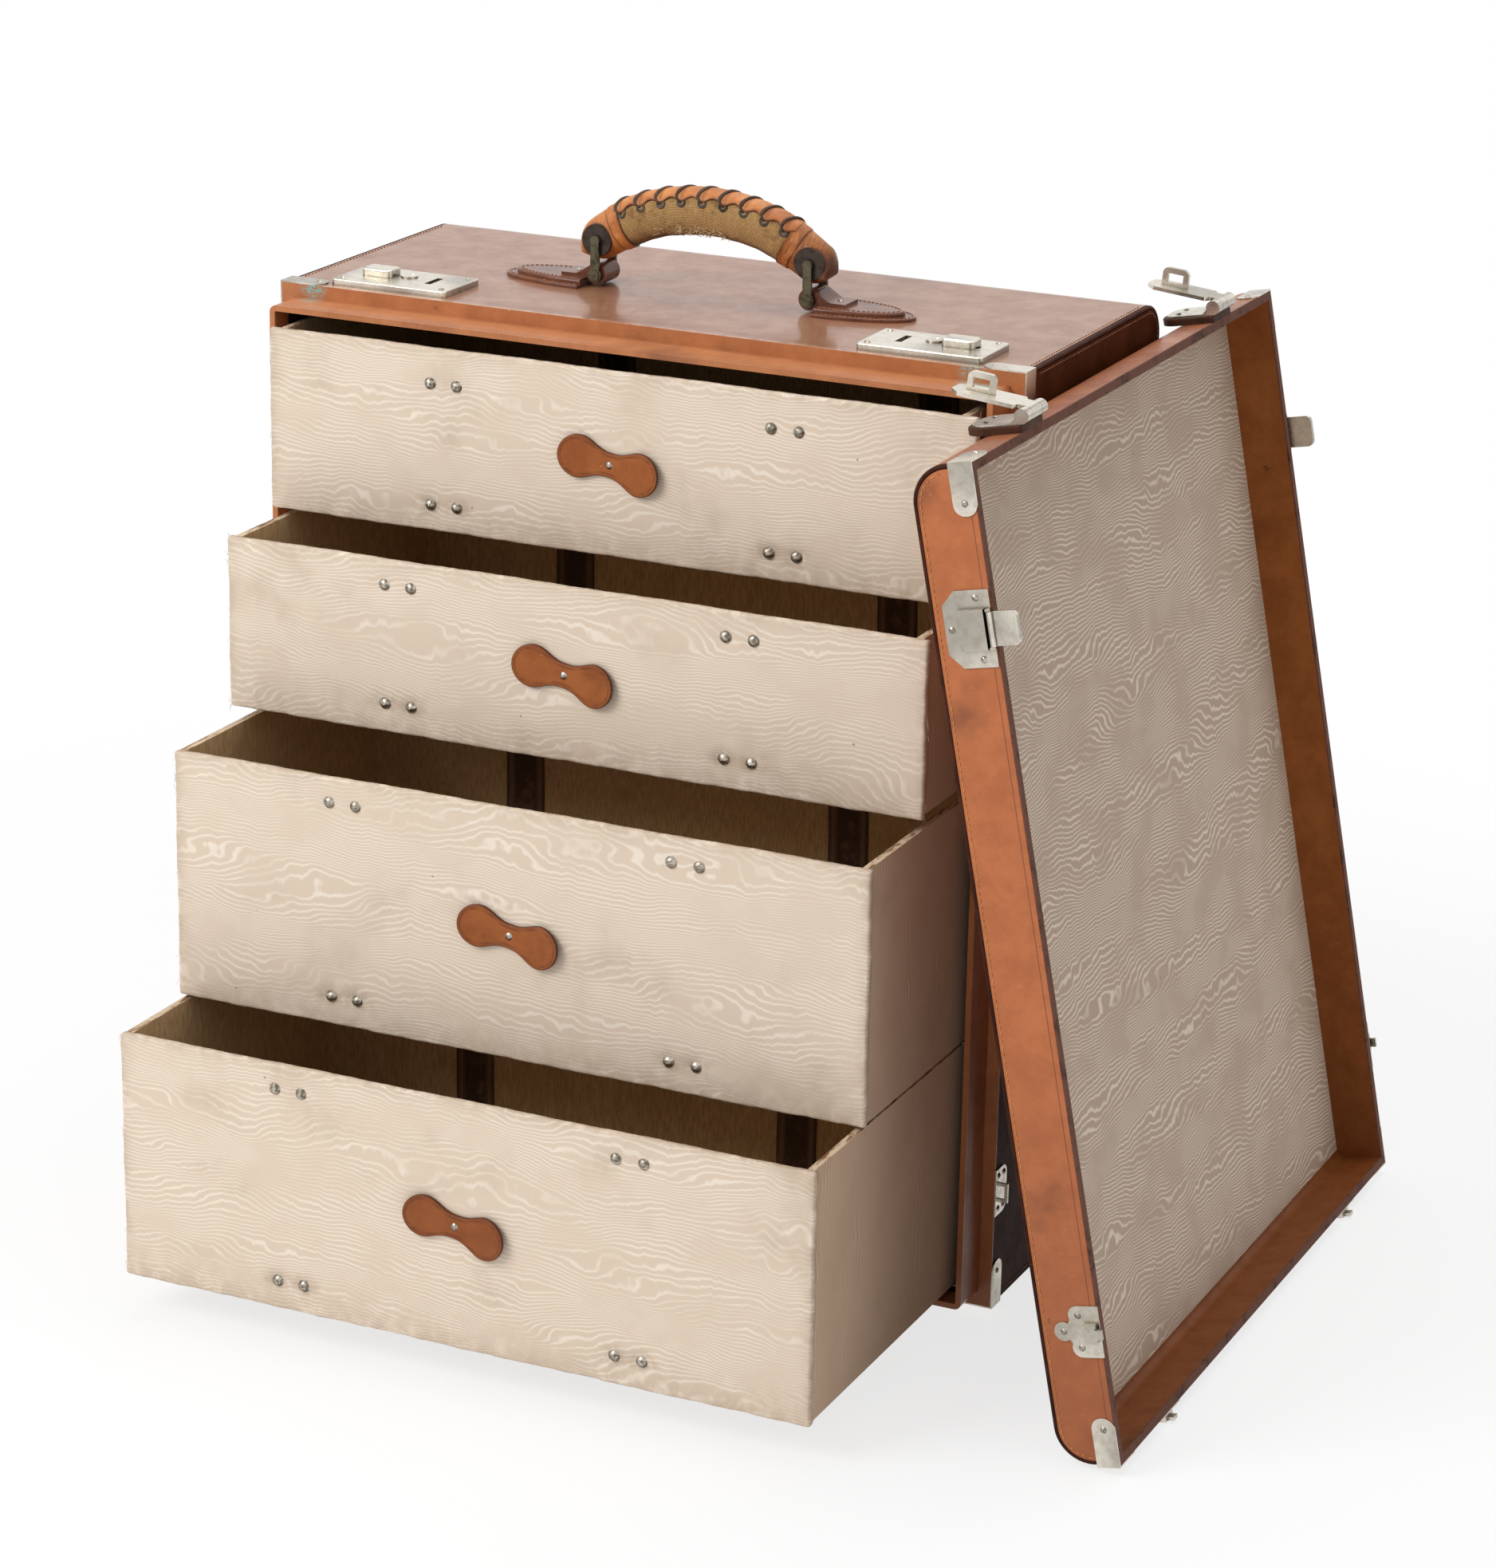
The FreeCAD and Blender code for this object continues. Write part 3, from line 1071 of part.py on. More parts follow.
def handle_chape(shanks):
    """Right-hand leather loop round the lower pin, its tab riveted to the patches."""
    level = pads_top()
    axis = Vector(SHACKLE_FROM_MIDDLE, HANDLE_Y, LOWER_PIN_Z)
    across = Y_AXIS * CHAPE_HALF
    roll = rod(CHAPE_RADIUS, axis - across, axis + across)
    crest = LOWER_PIN_Z + CHAPE_RADIUS - CHAPE_CREST_DROP
    outline = [(SHACKLE_FROM_MIDDLE, level, 0), (CHAPE_TAB_END, level, 0),
               (CHAPE_TAB_END, level + CHAPE_TAB, 0),
               (CHAPE_RIVET - CHAPE_STEP, level + CHAPE_TAB, CHAPE_STEP_RADIUS),
               (SHACKLE_FROM_MIDDLE + CHAPE_CREST, crest, CHAPE_CREST_RADIUS),
               (SHACKLE_FROM_MIDDLE, crest, 0)]
    tab = prism(outline, Vector(0, HANDLE_Y + CHAPE_HALF, 0), X_AXIS, Z_AXIS, 2 * CHAPE_HALF)
    loop = roll.fuse(tab)
    below = box((0, HALF), (RIM, BACK), (0, TOP + SLIDE_PLAY))
    bore = rod(SHACKLE_PIN_RADIUS + RUNNING, axis - across * 2, axis + across * 2)
    return minus(loop, [below, bore] + handle_pads([]) + shanks).removeSplitter()


def chape_stud():
    """Rivet through the right-hand tab and patches."""
    return stud(Vector(CHAPE_RIVET, HANDLE_Y, pads_top() + CHAPE_TAB), Z_AXIS)


def shackle():
    """Right-hand shackle: two tapered arms, the lower screw pin and the upper pin."""
    lower = Vector(SHACKLE_FROM_MIDDLE, HANDLE_Y, LOWER_PIN_Z)
    upper = Vector(SHACKLE_FROM_MIDDLE, HANDLE_Y, UPPER_PIN_Z)
    solids = []
    for side in (-1, 1):
        start = Y_AXIS * (ARM_IN if side > 0 else -ARM_OUT)
        lower_end = disc_prism(ARM_LOWER_RADIUS, lower + start, Y_AXIS, ARM_THICKNESS)
        upper_end = disc_prism(ARM_UPPER_RADIUS, upper + start, Y_AXIS, ARM_THICKNESS)
        bar = prism([(-ARM_LOWER_HALF, 0, 0), (ARM_LOWER_HALF, 0, 0), (ARM_UPPER_HALF, SHACKLE_LENGTH, 0),
                     (-ARM_UPPER_HALF, SHACKLE_LENGTH, 0)],
                    lower + start + Y_AXIS * ARM_THICKNESS, X_AXIS, Z_AXIS, ARM_THICKNESS)
        head = disc_prism(SCREW_HEAD_RADIUS, lower + Y_AXIS * side * ARM_OUT, Y_AXIS * side, SCREW_HEAD)
        slot = box((lower.x - SCREW_HEAD_RADIUS, lower.x + SCREW_HEAD_RADIUS),
                   (HANDLE_Y + side * (ARM_OUT + SCREW_HEAD / 2), HANDLE_Y + side * (ARM_OUT + SCREW_HEAD)),
                   (lower.z - SCREW_SLOT / 2, lower.z + SCREW_SLOT / 2))
        solids += [lower_end, upper_end, bar, head.cut(slot)]
    for centre in (lower, upper):
        solids.append(rod(SHACKLE_PIN_RADIUS, centre - Y_AXIS * ARM_IN, centre + Y_AXIS * ARM_IN))
    return solids[0].fuse(solids[1:]).removeSplitter()


def grip_body(extra):
    """The bowed grip, grown by extra all round: an oval carried along an arc."""
    centre = Vector(0, HANDLE_Y, GRIP_CENTRE_Z)
    start = centre + Vector(-math.sin(GRIP_END_ANGLE), 0, math.cos(GRIP_END_ANGLE)) * GRIP_ARC
    end = centre + Vector(math.sin(GRIP_END_ANGLE), 0, math.cos(GRIP_END_ANGLE)) * GRIP_ARC
    path = Part.Wire(Part.Arc(start, centre + Z_AXIS * GRIP_ARC, end).toShape())
    radial = (start - centre).normalize()
    tall = start + radial * (GRIP_HALF_HEIGHT + extra)
    wide = start + Y_AXIS * (GRIP_HALF_WIDTH + extra)
    section = Part.Wire(Part.Ellipse(tall, wide, start).toShape())
    return path.makePipeShell([section], True, True)


def end_round(side, radius, half):
    """A round about one of the grip's end pins."""
    pin = Vector(side * SHACKLE_FROM_MIDDLE, HANDLE_Y, UPPER_PIN_Z)
    return rod(radius, pin - Y_AXIS * half, pin + Y_AXIS * half)


def end_reliefs():
    """What the arms of the shackles need clear beside the ends of the grip."""
    tools = []
    for side in (-1, 1):
        reach = COLLAR_RADIUS + GRIP_RELIEF
        wide = end_round(side, reach, GRIP_HALF_WIDTH + OVER)
        tools.append(wide.cut(end_round(side, reach + OVER, GRIP_END_HALF)))
    return tools


def end_bores():
    """Holes for the upper pins."""
    return [end_round(side, SHACKLE_PIN_RADIUS + RUNNING, GRIP_HALF_WIDTH + OVER) for side in (-1, 1)]


def grip_core():
    """Canvas-covered body of the grip."""
    rounds = [end_round(side, GRIP_END_RADIUS, GRIP_END_HALF) for side in (-1, 1)]
    body = minus(grip_body(0), end_reliefs()).fuse(rounds)
    recesses = []
    for side in (-1, 1):
        ring = end_round(side, COLLAR_HOLE, GRIP_END_HALF + OVER)
        recesses.append(ring.cut(end_round(side, COLLAR_HOLE + OVER, GRIP_END_HALF - DISC_DEPTH)))
    return minus(body, recesses + end_bores()).removeSplitter()


def arc_sector(inner, outer, half_width, half_span):
    """A band round the grip's arc, for cutting pieces of its cover."""
    corners = []
    for radius, angle in ((inner, -half_span), (outer, -half_span), (outer, half_span), (inner, half_span)):
        turn = math.radians(angle)
        corners.append(Vector(radius * math.sin(turn), 0, radius * math.cos(turn)))
    origin = Vector(0, HANDLE_Y - half_width, GRIP_CENTRE_Z)
    outer_top = origin + Vector(0, 0, outer)
    inner_top = origin + Vector(0, 0, inner)
    outer_arc = Part.Arc(origin + corners[1], outer_top, origin + corners[2]).toShape()
    inner_arc = Part.Arc(origin + corners[3], inner_top, origin + corners[0]).toShape()
    left = Part.LineSegment(origin + corners[0], origin + corners[1]).toShape()
    right = Part.LineSegment(origin + corners[2], origin + corners[3]).toShape()
    face = Part.Face(Part.Wire([left, outer_arc, right, inner_arc]))
    return face.extrude(Y_AXIS * 2 * half_width)


def grip_leather():
    """Leather strip along the top of the grip, and a collar round each end."""
    room = grip_body(RUNNING)
    sector = arc_sector(GRIP_ARC + STRIP_DEPTH, GRIP_ARC + GRIP_HALF_HEIGHT * 2,
                        STRIP_HALF, STRIP_HALF_SPAN)
    pieces = [grip_body(GRIP_SKIN).common(sector).cut(room)]
    for side in (-1, 1):
        collar = end_round(side, COLLAR_RADIUS, GRIP_END_HALF)
        collar = collar.cut(end_round(side, GRIP_END_RADIUS, GRIP_END_HALF + OVER))
        pieces.append(collar.cut(room).cut(grip_core()))
    return pieces


def eyelet_angles():
    """Degrees round the grip's arc of each pair of eyelets."""
    step = 2 * EYELET_HALF_SPAN / (EYELETS - 1)
    return [index * step - EYELET_HALF_SPAN for index in range(EYELETS)]


def eyelet_frame(angle, side):
    """Centre of an eyelet on the grip's surface, and its outward direction."""
    turn = math.radians(angle)
    radial = Vector(math.sin(turn), 0, math.cos(turn))
    across = math.sqrt(1 - (EYELET_RISE / GRIP_HALF_HEIGHT) ** 2)
    centre = Vector(0, HANDLE_Y + side * GRIP_HALF_WIDTH * across, GRIP_CENTRE_Z)
    centre += radial * (GRIP_ARC + EYELET_RISE)
    normal = Vector(0, side * across / GRIP_HALF_WIDTH, 0)
    normal += radial * (EYELET_RISE / GRIP_HALF_HEIGHT ** 2)
    return centre, normal.normalize()


def grip_fittings():
    """Eyelets on both sides of the grip, and the discs in its ends."""
    core = grip_core()
    pieces = []
    for angle in eyelet_angles():
        for side in (-1, 1):
            centre, normal = eyelet_frame(angle, side)
            foot, head = centre - normal * EYELET_DEPTH, centre + normal * EYELET_STANDOFF
            ring = rod(EYELET_RADIUS, foot, head).cut(rod(EYELET_HOLE, foot - normal, head + normal))
            pieces.append(ring.cut(core))
    for end in (-1, 1):
        disc = end_round(end, COLLAR_HOLE, GRIP_END_HALF)
        disc = minus(disc, [end_round(end, COLLAR_HOLE + OVER, GRIP_END_HALF - DISC_DEPTH)] + end_bores())
        pieces += disc.Solids
    return pieces


def grip_lacing():
    """Laces that cross the leather strip from each eyelet to the one over the way."""
    shell = grip_body(GRIP_SKIN + LACE_THICKNESS).cut(grip_body(GRIP_SKIN))
    laces = []
    for angle in eyelet_angles():
        centre = Vector(0, HANDLE_Y, GRIP_CENTRE_Z)
        slab = box((-LACE_WIDTH / 2, LACE_WIDTH / 2), (HANDLE_Y - STRIP_HALF, HANDLE_Y + STRIP_HALF),
                   (GRIP_CENTRE_Z + GRIP_ARC, GRIP_CENTRE_Z + GRIP_ARC + 2 * GRIP_HALF_HEIGHT))
        slab.rotate(centre, Z_AXIS, LACE_SKEW)
        slab.rotate(centre, Y_AXIS, angle)
        laces.append(slab.common(shell))
    return laces


# ---- Export -----------------------------------------------------------------------------
def as_list(shapes):
    """Solids of a shape or of a list of shapes."""
    found = []
    for shape in (shapes if isinstance(shapes, list) else [shapes]):
        found += shape.Solids
    return found


def carcass_pieces():
    """Nodes of the case itself."""
    studs = []
    for part in strap_studs(RIM + STRAP_WIDTH / 2):
        studs += four_corners(part)
    for part in loop_studs() + keeper_studs() + [stud(place, Z_AXIS) for place in lock_stud_places()]:
        studs += both_sides(part)
    studs += both_sides(chape_stud())
    strap = corner_strap((RIM, RIM + STRAP_WIDTH))
    loops = []
    for plate in loop_plates(studs):
        loops += both_sides(plate)
    lock = lock_plate(studs)
    pads = []
    for pad in handle_pads(studs):
        pads += both_sides(pad)
    return {
        "carcass_box": carcass_box(studs),
        "leather_wrap": leather_wrap(studs),
        "side_leather": side_leather(studs),
        "seam_piping": both_pipings(RIM + RIM_HIDE, BACK, studs),
        "lip_leather": minus(lip_leather(), studs),
        "inner_frame": inner_frame(),
        "back_lining": back_lining(),
        "drawer_runners": drawer_runners(),
        "corner_straps": [minus(piece, studs) for piece in four_corners(strap)],
        "carcass_rivets": studs,
        "lock_plates": both_sides(lock),
        "lock_cases": both_sides(lock_case()),
        "handle_pads": pads,
        "handle_chapes": both_sides(handle_chape(studs)),
        "loop_plates": loops,
        "catch_keepers": both_sides(keeper(studs)),
        "feet": feet()}


def both_pipings(open_y, end_y, studs):
    """The beads of both sides, of the case or of the lid."""
    return [minus(piece, studs) for piece in both_sides(piping(open_y, end_y))]


def drawer_pieces():
    """Nodes of the four drawers."""
    nodes = {}
    for name, level in drawer_levels().items():
        nodes[name + "_box"] = drawer_box(name, level)
        nodes[name + "_front"] = drawer_front(name, level)
        nodes[name + "_rivets"] = drawer_rivets(name, level) + [pull_rivet(name, level)]
        nodes[name + "_pull"] = drawer_pull(name, level)
    return nodes


def lid_pieces():
    """Nodes of the lid, drawn closed."""
    studs = []
    for part in strap_studs(RIM - STRAP_WIDTH / 2):
        studs += four_corners(part)
    for part in catch_studs() + hook_studs():
        studs += both_sides(part)
    for x in HASP_PLACES:
        studs += hasp_studs(x)
    strap = corner_strap((RIM - STRAP_WIDTH, RIM))
    hooks = []
    for plate in hook_plates(studs):
        hooks += both_sides(plate)
    catch = catch_plate(studs)
    tongue = catch_tongue()
    near, far = HASP_PLACES
    return {
        "lid_shell": lid_shell(studs),
        "lid_wrap": lid_wrap(studs),
        "lid_side_leather": lid_side_leather(studs),
        "lid_piping": both_pipings(RIM - LID_BINDING, LID_FACE, studs),
        "lid_binding": lid_binding(),
        "lid_silk_panel": lid_silk_panel(),
        "lid_inner_leather": lid_inner_leather(),
        "lid_corner_straps": [minus(piece, studs) for piece in four_corners(strap)],
        "lid_rivets": studs,
        "catch_plates": both_sides(catch),
        "hook_plates": hooks,
        "hasp_pads": [hasp_pad(x, studs) for x in HASP_PLACES],
        "hasp_bases": [hasp_base(x, studs) for x in HASP_PLACES],
        "hasp_strap_near": opened_hasp(near),
        "hasp_strap_far": opened_hasp(far),
        "catch_tongue_near": tongue,
        "catch_tongue_far": mirror_x(tongue)}


def moving_pieces():
    """Nodes of the handle and of the locks' moving parts."""
    return {
        "shackle_right": shackle(),
        "shackle_left": mirror_x(shackle()),
        "grip_core": grip_core(),
        "grip_leather": grip_leather(),
        "grip_lacing": grip_lacing(),
        "grip_fittings": grip_fittings(),
        "lock_button_right": lock_button(),
        "lock_button_left": mirror_x(lock_button()),
        "keyhole_cover_right": keyhole_cover(),
        "keyhole_cover_left": mirror_x(keyhole_cover())}


def main():
    """Write every node to its own file."""
    os.makedirs("parts", exist_ok=True)
    nodes = {}
    nodes.update(carcass_pieces())
    nodes.update(drawer_pieces())
    leaning = lid_placement()
    for name, shapes in lid_pieces().items():
        placed = []
        for solid in as_list(shapes):
            solid.Placement = leaning.multiply(solid.Placement)
            placed.append(solid)
        nodes[name] = placed
    nodes.update(moving_pieces())
    for name, shapes in nodes.items():
        solids = as_list(shapes)
        shape = solids[0] if len(solids) == 1 else Part.makeCompound(solids)
        shape.exportStep("parts/" + name + ".step")
        print(name, len(solids), "solids", round(shape.Volume / 1000, 2), "cm3", shape.isValid())


if __name__ == "__main__":
    main()
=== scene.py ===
"""Dressing of a leather wardrobe trunk: silk-faced drawers, a laced canvas handle and a leaning lid.

Lengths are millimetres until a mesh is made, and metres in every mesh and in the studio. +X is to
the right, +Y to the back and +Z up; the origin is the centre of the case's underside.
"""
import bpy
import bmesh
import logging
import math
from dataclasses import dataclass, field
from enum import Enum
from functools import cached_property
from mathutils import Matrix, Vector
from typing import Optional, Sequence, Union
import numpy as np
from numpy.typing import NDArray


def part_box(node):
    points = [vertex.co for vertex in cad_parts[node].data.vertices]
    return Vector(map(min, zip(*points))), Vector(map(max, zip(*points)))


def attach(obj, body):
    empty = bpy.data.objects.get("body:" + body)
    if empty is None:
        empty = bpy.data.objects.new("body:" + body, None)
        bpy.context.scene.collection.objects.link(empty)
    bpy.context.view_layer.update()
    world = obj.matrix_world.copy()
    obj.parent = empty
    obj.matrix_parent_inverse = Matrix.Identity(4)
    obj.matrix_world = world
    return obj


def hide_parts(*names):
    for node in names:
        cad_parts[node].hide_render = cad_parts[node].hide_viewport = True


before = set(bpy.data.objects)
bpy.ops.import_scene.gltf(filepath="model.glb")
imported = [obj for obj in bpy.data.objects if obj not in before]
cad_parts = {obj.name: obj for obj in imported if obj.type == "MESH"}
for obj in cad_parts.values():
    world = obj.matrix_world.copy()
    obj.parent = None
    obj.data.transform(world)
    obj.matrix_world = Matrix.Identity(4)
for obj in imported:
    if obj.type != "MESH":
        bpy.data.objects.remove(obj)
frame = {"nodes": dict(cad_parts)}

LOG = logging.getLogger("trunk")
MM = 0.001
Points = NDArray[np.float64]
Numbers = Union[Points, float]
Triple = tuple[float, float, float]
Socket = bpy.types.NodeSocket
Feed = Union[Socket, float, Triple]
Inputs = dict[Union[str, int], Feed]
RIGHT: Triple = (1.0, 0.0, 0.0)
BACK: Triple = (0.0, 1.0, 0.0)
UP: Triple = (0.0, 0.0, 1.0)
SIDES = (-1, 1)


# ---- Node trees ---------------------------------------------------------------------------
class Graph:
    """Short way of writing a node tree: its methods add nodes and give their outputs."""

    def __init__(self, tree: bpy.types.NodeTree) -> None:
        """Keeps the tree of a material, a world or a group, which the nodes are added to."""
        self.tree = tree

    def feed(self, socket: Socket, value: Feed) -> None:
        """Links an output to a socket, or sets the socket's own value.

        Args:
            socket: the input to fill.
            value: an output socket, a number, or a colour or vector.
        """
        if isinstance(value, bpy.types.NodeSocket):
            self.tree.links.new(value, socket)
        elif isinstance(value, tuple) and socket.type == "RGBA":
            socket.default_value = (*value, 1.0)
        else:
            socket.default_value = value

    def fill(self, node: bpy.types.Node, values: Inputs) -> None:
        """Feeds several of a node's inputs, by their names or numbers."""
        for name, value in values.items():
            self.feed(node.inputs[name], value)

    def add(self, kind: str, inputs: Optional[Inputs] = None, **settings: object) -> bpy.types.Node:
        """Adds a node.

        Args:
            kind: the node's type name.
            inputs: values or outputs for its sockets, by name or number.
            **settings: the node's own properties.

        Returns:
            The new node.
        """
        node = self.tree.nodes.new(kind)
        for name, value in settings.items():
            setattr(node, name, value)
        self.fill(node, inputs or {})
        return node

    def effect(self, group: bpy.types.NodeTree, inputs: Inputs) -> bpy.types.NodeOutputs:
        """Adds a shared node group, and gives its outputs."""
        return self.add("ShaderNodeGroup", inputs, node_tree=group).outputs

    def math(self, operation: str, a: Feed, b: Feed = 0.0, c: Feed = 0.0) -> Socket:
        """Arithmetic on up to three numbers."""
        return self.add("ShaderNodeMath", {0: a, 1: b, 2: c}, operation=operation).outputs[0]

    def times(self, a: Feed, b: Feed) -> Socket:
        """Two numbers multiplied."""
        return self.math("MULTIPLY", a, b)

    def vector(self, operation: str, a: Feed, b: Feed) -> bpy.types.Node:
        """Arithmetic on two vectors; gives the node, for its vector or its value."""
        return self.add("ShaderNodeVectorMath", {0: a, 1: b}, operation=operation)

    def combined(self, x: Feed, y: Feed, z: Feed) -> Socket:
        """Three numbers as one vector."""
        return self.add("ShaderNodeCombineXYZ", {"X": x, "Y": y, "Z": z}).outputs[0]

    def mix(self, factor: Feed, a: Feed, b: Feed) -> Socket:
        """The first colour with the second laid over it by a factor."""
        return self.add("ShaderNodeMix", {0: factor, 6: a, 7: b}, data_type="RGBA").outputs[2]

    def tint(self, colour: Feed, other: Feed, mask: Socket, amount: float) -> Socket:
        """A colour with another laid over it by a mask times an amount."""
        return self.mix(self.times(mask, amount), colour, other)

    def smooth(self, value: Feed, low: float, high: float, start: float = 0.0, end: float = 1.0) -> Socket:
        """Value between low and high, brought softly to between start and end."""
        inputs = {"Value": value, "From Min": low, "From Max": high, "To Min": start, "To Max": end}
        return self.add("ShaderNodeMapRange", inputs, interpolation_type="SMOOTHSTEP").outputs[0]

    def noise(self, vector: Feed, scale: float, detail: float = 3.0, roughness: float = 0.5) -> Socket:
        """Cloudy noise between 0 and 1."""
        inputs = {"Vector": vector, "Scale": scale, "Detail": detail, "Roughness": roughness}
        return self.add("ShaderNodeTexNoise", inputs).outputs[0]

    def cells(self, vector: Feed, scale: float) -> Socket:
        """Distance to the nearest of many scattered points."""
        return self.add("ShaderNodeTexVoronoi", {"Vector": vector, "Scale": scale}).outputs["Distance"]

    def scaled(self, vector: Feed, factors: Triple) -> Socket:
        """A vector stretched along each axis."""
        return self.vector("MULTIPLY", vector, factors).outputs[0]

    def shifted(self, vector: Feed, amount: Feed) -> Socket:
        """A vector moved by another, or by one number on every axis."""
        return self.vector("ADD", vector, amount).outputs[0]

    def position(self) -> Socket:
        """Place on the object in millimetres."""
        return self.scaled(self.add("ShaderNodeTexCoord").outputs["Object"], (1 / MM, 1 / MM, 1 / MM))

    def along(self, vector: Feed, direction: Triple) -> Socket:
        """How far a place lies along a direction."""
        return self.vector("DOT_PRODUCT", vector, direction).outputs["Value"]

    def attribute(self, name: str) -> Socket:
        """A number that the mesh carries at each point."""
        return self.add("ShaderNodeAttribute", attribute_name=name).outputs["Fac"]

    def bump(self, height: Feed, distance: float, strength: float) -> Socket:
        """Normal roughened by a height; the distance is in millimetres."""
        inputs = {"Height": height, "Distance": distance * MM, "Strength": strength}
        return self.add("ShaderNodeBump", inputs).outputs[0]


class Effects:
    """Surface effects that several finishes share, each made once as a node group.

    Positions are in millimetres, so a noise's scale is its clouds in a millimetre.
    """

    pore_rate: float = 1.15
    line_rate: float = 0.32
    rib_pitch: float = 1.3

    @staticmethod
    def begin(name: str, inputs: Sequence[str]) -> tuple[Graph, list[Socket]]:
        """Starts a node group.

        Args:
            name: what the group is called.
            inputs: names of its inputs; one called Position is a vector, and the others numbers.

        Returns:
            The group's graph, and what its inputs give, in their order.
        """
        tree = bpy.data.node_groups.new(name, "ShaderNodeTree")
        for entry in inputs:
            kind = "NodeSocketVector" if entry == "Position" else "NodeSocketFloat"
            tree.interface.new_socket(name=entry, in_out="INPUT", socket_type=kind)
        given = tree.nodes.new("NodeGroupInput")
        return Graph(tree), [given.outputs[entry] for entry in inputs]

    @staticmethod
    def end(graph: Graph, outputs: Inputs) -> bpy.types.NodeTree:
        """Gives a node group its outputs, all numbers.

        Args:
            graph: the group's graph.
            outputs: what it puts out, by name.

        Returns:
            The finished group.
        """
        for entry in outputs:
            graph.tree.interface.new_socket(name=entry, in_out="OUTPUT", socket_type="NodeSocketFloat")
        graph.fill(graph.tree.nodes.new("NodeGroupOutput"), outputs)
        return graph.tree

    @cached_property
    def hide(self) -> bpy.types.NodeTree:
        """Leather: pores, cloudy colour, hair scratches and small spots.

        Pores are the distance to scattered points about a millimetre apart. Scratches are noise
        drawn out some thirty times along one of two slanting lines, and cut high.

        Returns:
            The group: its pores, clouds, scratches, spots and stain.
        """
        graph, (position, seed) = self.begin("hide_surface", ("Position", "Seed"))
        place = graph.shifted(position, seed)
        pores = graph.times(graph.cells(place, self.pore_rate), graph.noise(place, 0.6, 2.0))
        fine = graph.times(graph.noise(place, 0.22, 4.0, 0.65), 0.8)
        slanting = graph.along(place, (0.80, 0.52, 0.30))
        other = graph.along(place, (-0.42, 0.83, 0.36))
        hairs = []
        for line, beside, third, drawn, scale, cut in (
                (slanting, other, (0.1, -0.3, 0.9), 0.035, 0.55, 0.70),
                (other, slanting, (-0.3, 0.2, 0.9), 0.03, 0.5, 0.71)):
            stretched = graph.combined(graph.times(line, drawn), beside, graph.along(place, third))
            hairs.append(graph.smooth(graph.noise(stretched, scale, 2.0), cut, cut + 0.08))
        ragged = graph.math("MULTIPLY_ADD", graph.noise(place, 0.5), 0.35, -0.17)
        distance = graph.math("ADD", graph.cells(place, 0.028), ragged)
        apart = graph.shifted(place, (37.0, 11.0, 5.0))
        return self.end(graph, {
            "Pores": graph.math("ADD", pores, fine),
            "Clouds": graph.smooth(graph.noise(place, 0.045, 6.0, 0.68), 0.30, 0.70),
            "Scratches": graph.math("MAXIMUM", *hairs),
            "Spots": graph.smooth(distance, 0.055, 0.015),
            "Stain": graph.smooth(graph.noise(apart, 0.011, 4.0, 0.55), 0.55, 0.72)})

    @cached_property
    def silk(self) -> bpy.types.NodeTree:
        """Watered silk: contour lines of the weft's own count, bent by a drawn-out noise.

        The lines are the fraction of across * count + noise * swell, folded about its middle, so
        that each whole number of it is one thin light line. Where the noise rises as fast as the
        count the lines close into loops. A kink that hardly changes across bends them all together.

        Returns:
            The group: its light bands, its clouds and its ribs.
        """
        graph, (along, across, seed, lines) = self.begin("watered_silk", ("Along", "Across", "Seed", "Lines"))

        def drift(along_rate: float, across_rate: float, detail: float, rough: float) -> Socket:
            """Noise at a place scaled apart along and across the weft."""
            place = graph.combined(graph.times(along, along_rate), graph.times(across, across_rate), seed)
            return graph.noise(place, 1.0, detail, rough)

        kink = graph.times(drift(0.060, 0.005, 2.0, 0.6), 6.0)
        jag = graph.times(drift(0.15, 0.05, 2.0, 0.6), 1.5)
        level = graph.math("ADD", graph.math("ADD", across, jag), kink)
        swell = graph.times(drift(0.0075, 0.022, 2.0, 0.38), lines)
        phase = graph.math("FRACT", graph.math("ADD", swell, graph.times(level, self.line_rate)))
        folded = graph.math("ABSOLUTE", graph.math("SUBTRACT", phase, 0.5))
        return self.end(graph, {
            "Bands": graph.smooth(folded, 0.24, 0.48),
            "Clouds": graph.smooth(drift(0.022, 0.03, 3.0, 0.55), 0.34, 0.62),
            "Ribs": graph.math("SINE", graph.times(across, 2 * math.pi / self.rib_pitch))})

    @cached_property
    def metal(self) -> bpy.types.NodeTree:
        """Worn plate: tarnish in clouds and pits, and straight fine scratches.

        Returns:
            The group: its tarnish, its pits and its scratches.
        """
        graph, (place,) = self.begin("worn_plate", ("Position",))
        return self.end(graph, {
            "Tarnish": graph.smooth(graph.noise(place, 0.16, 5.0, 0.66), 0.40, 0.66),
            "Pits": graph.smooth(graph.noise(place, 0.9, 3.0, 0.6), 0.66, 0.78),
            "Scratches": graph.noise(graph.scaled(place, (0.06, 1.6, 1.6)), 1.0, 3.0, 0.6)})


# ---- Finishes -----------------------------------------------------------------------------
def new_material(name: str) -> tuple[bpy.types.Material, Graph, bpy.types.Node]:
    """Starts a material.

    Args:
        name: what it is called.

    Returns:
        The material, its graph and its Principled shader.
    """
    material = bpy.data.materials.new(name)
    material.use_nodes = True
    return material, Graph(material.node_tree), material.node_tree.nodes["Principled BSDF"]


@dataclass(frozen=True)
class Line:
    """A plane that marks a surface where it crosses it: a crease, or a rubbed edge."""

    normal: Triple
    offset: float
    reach: float

    def nearness(self, graph: Graph, place: Socket) -> Socket:
        """1 on the plane, and softly down to 0 at its reach on either side."""
        above = graph.math("SUBTRACT", graph.along(place, self.normal), self.offset)
        return graph.smooth(graph.math("ABSOLUTE", above), self.reach, 0.0)


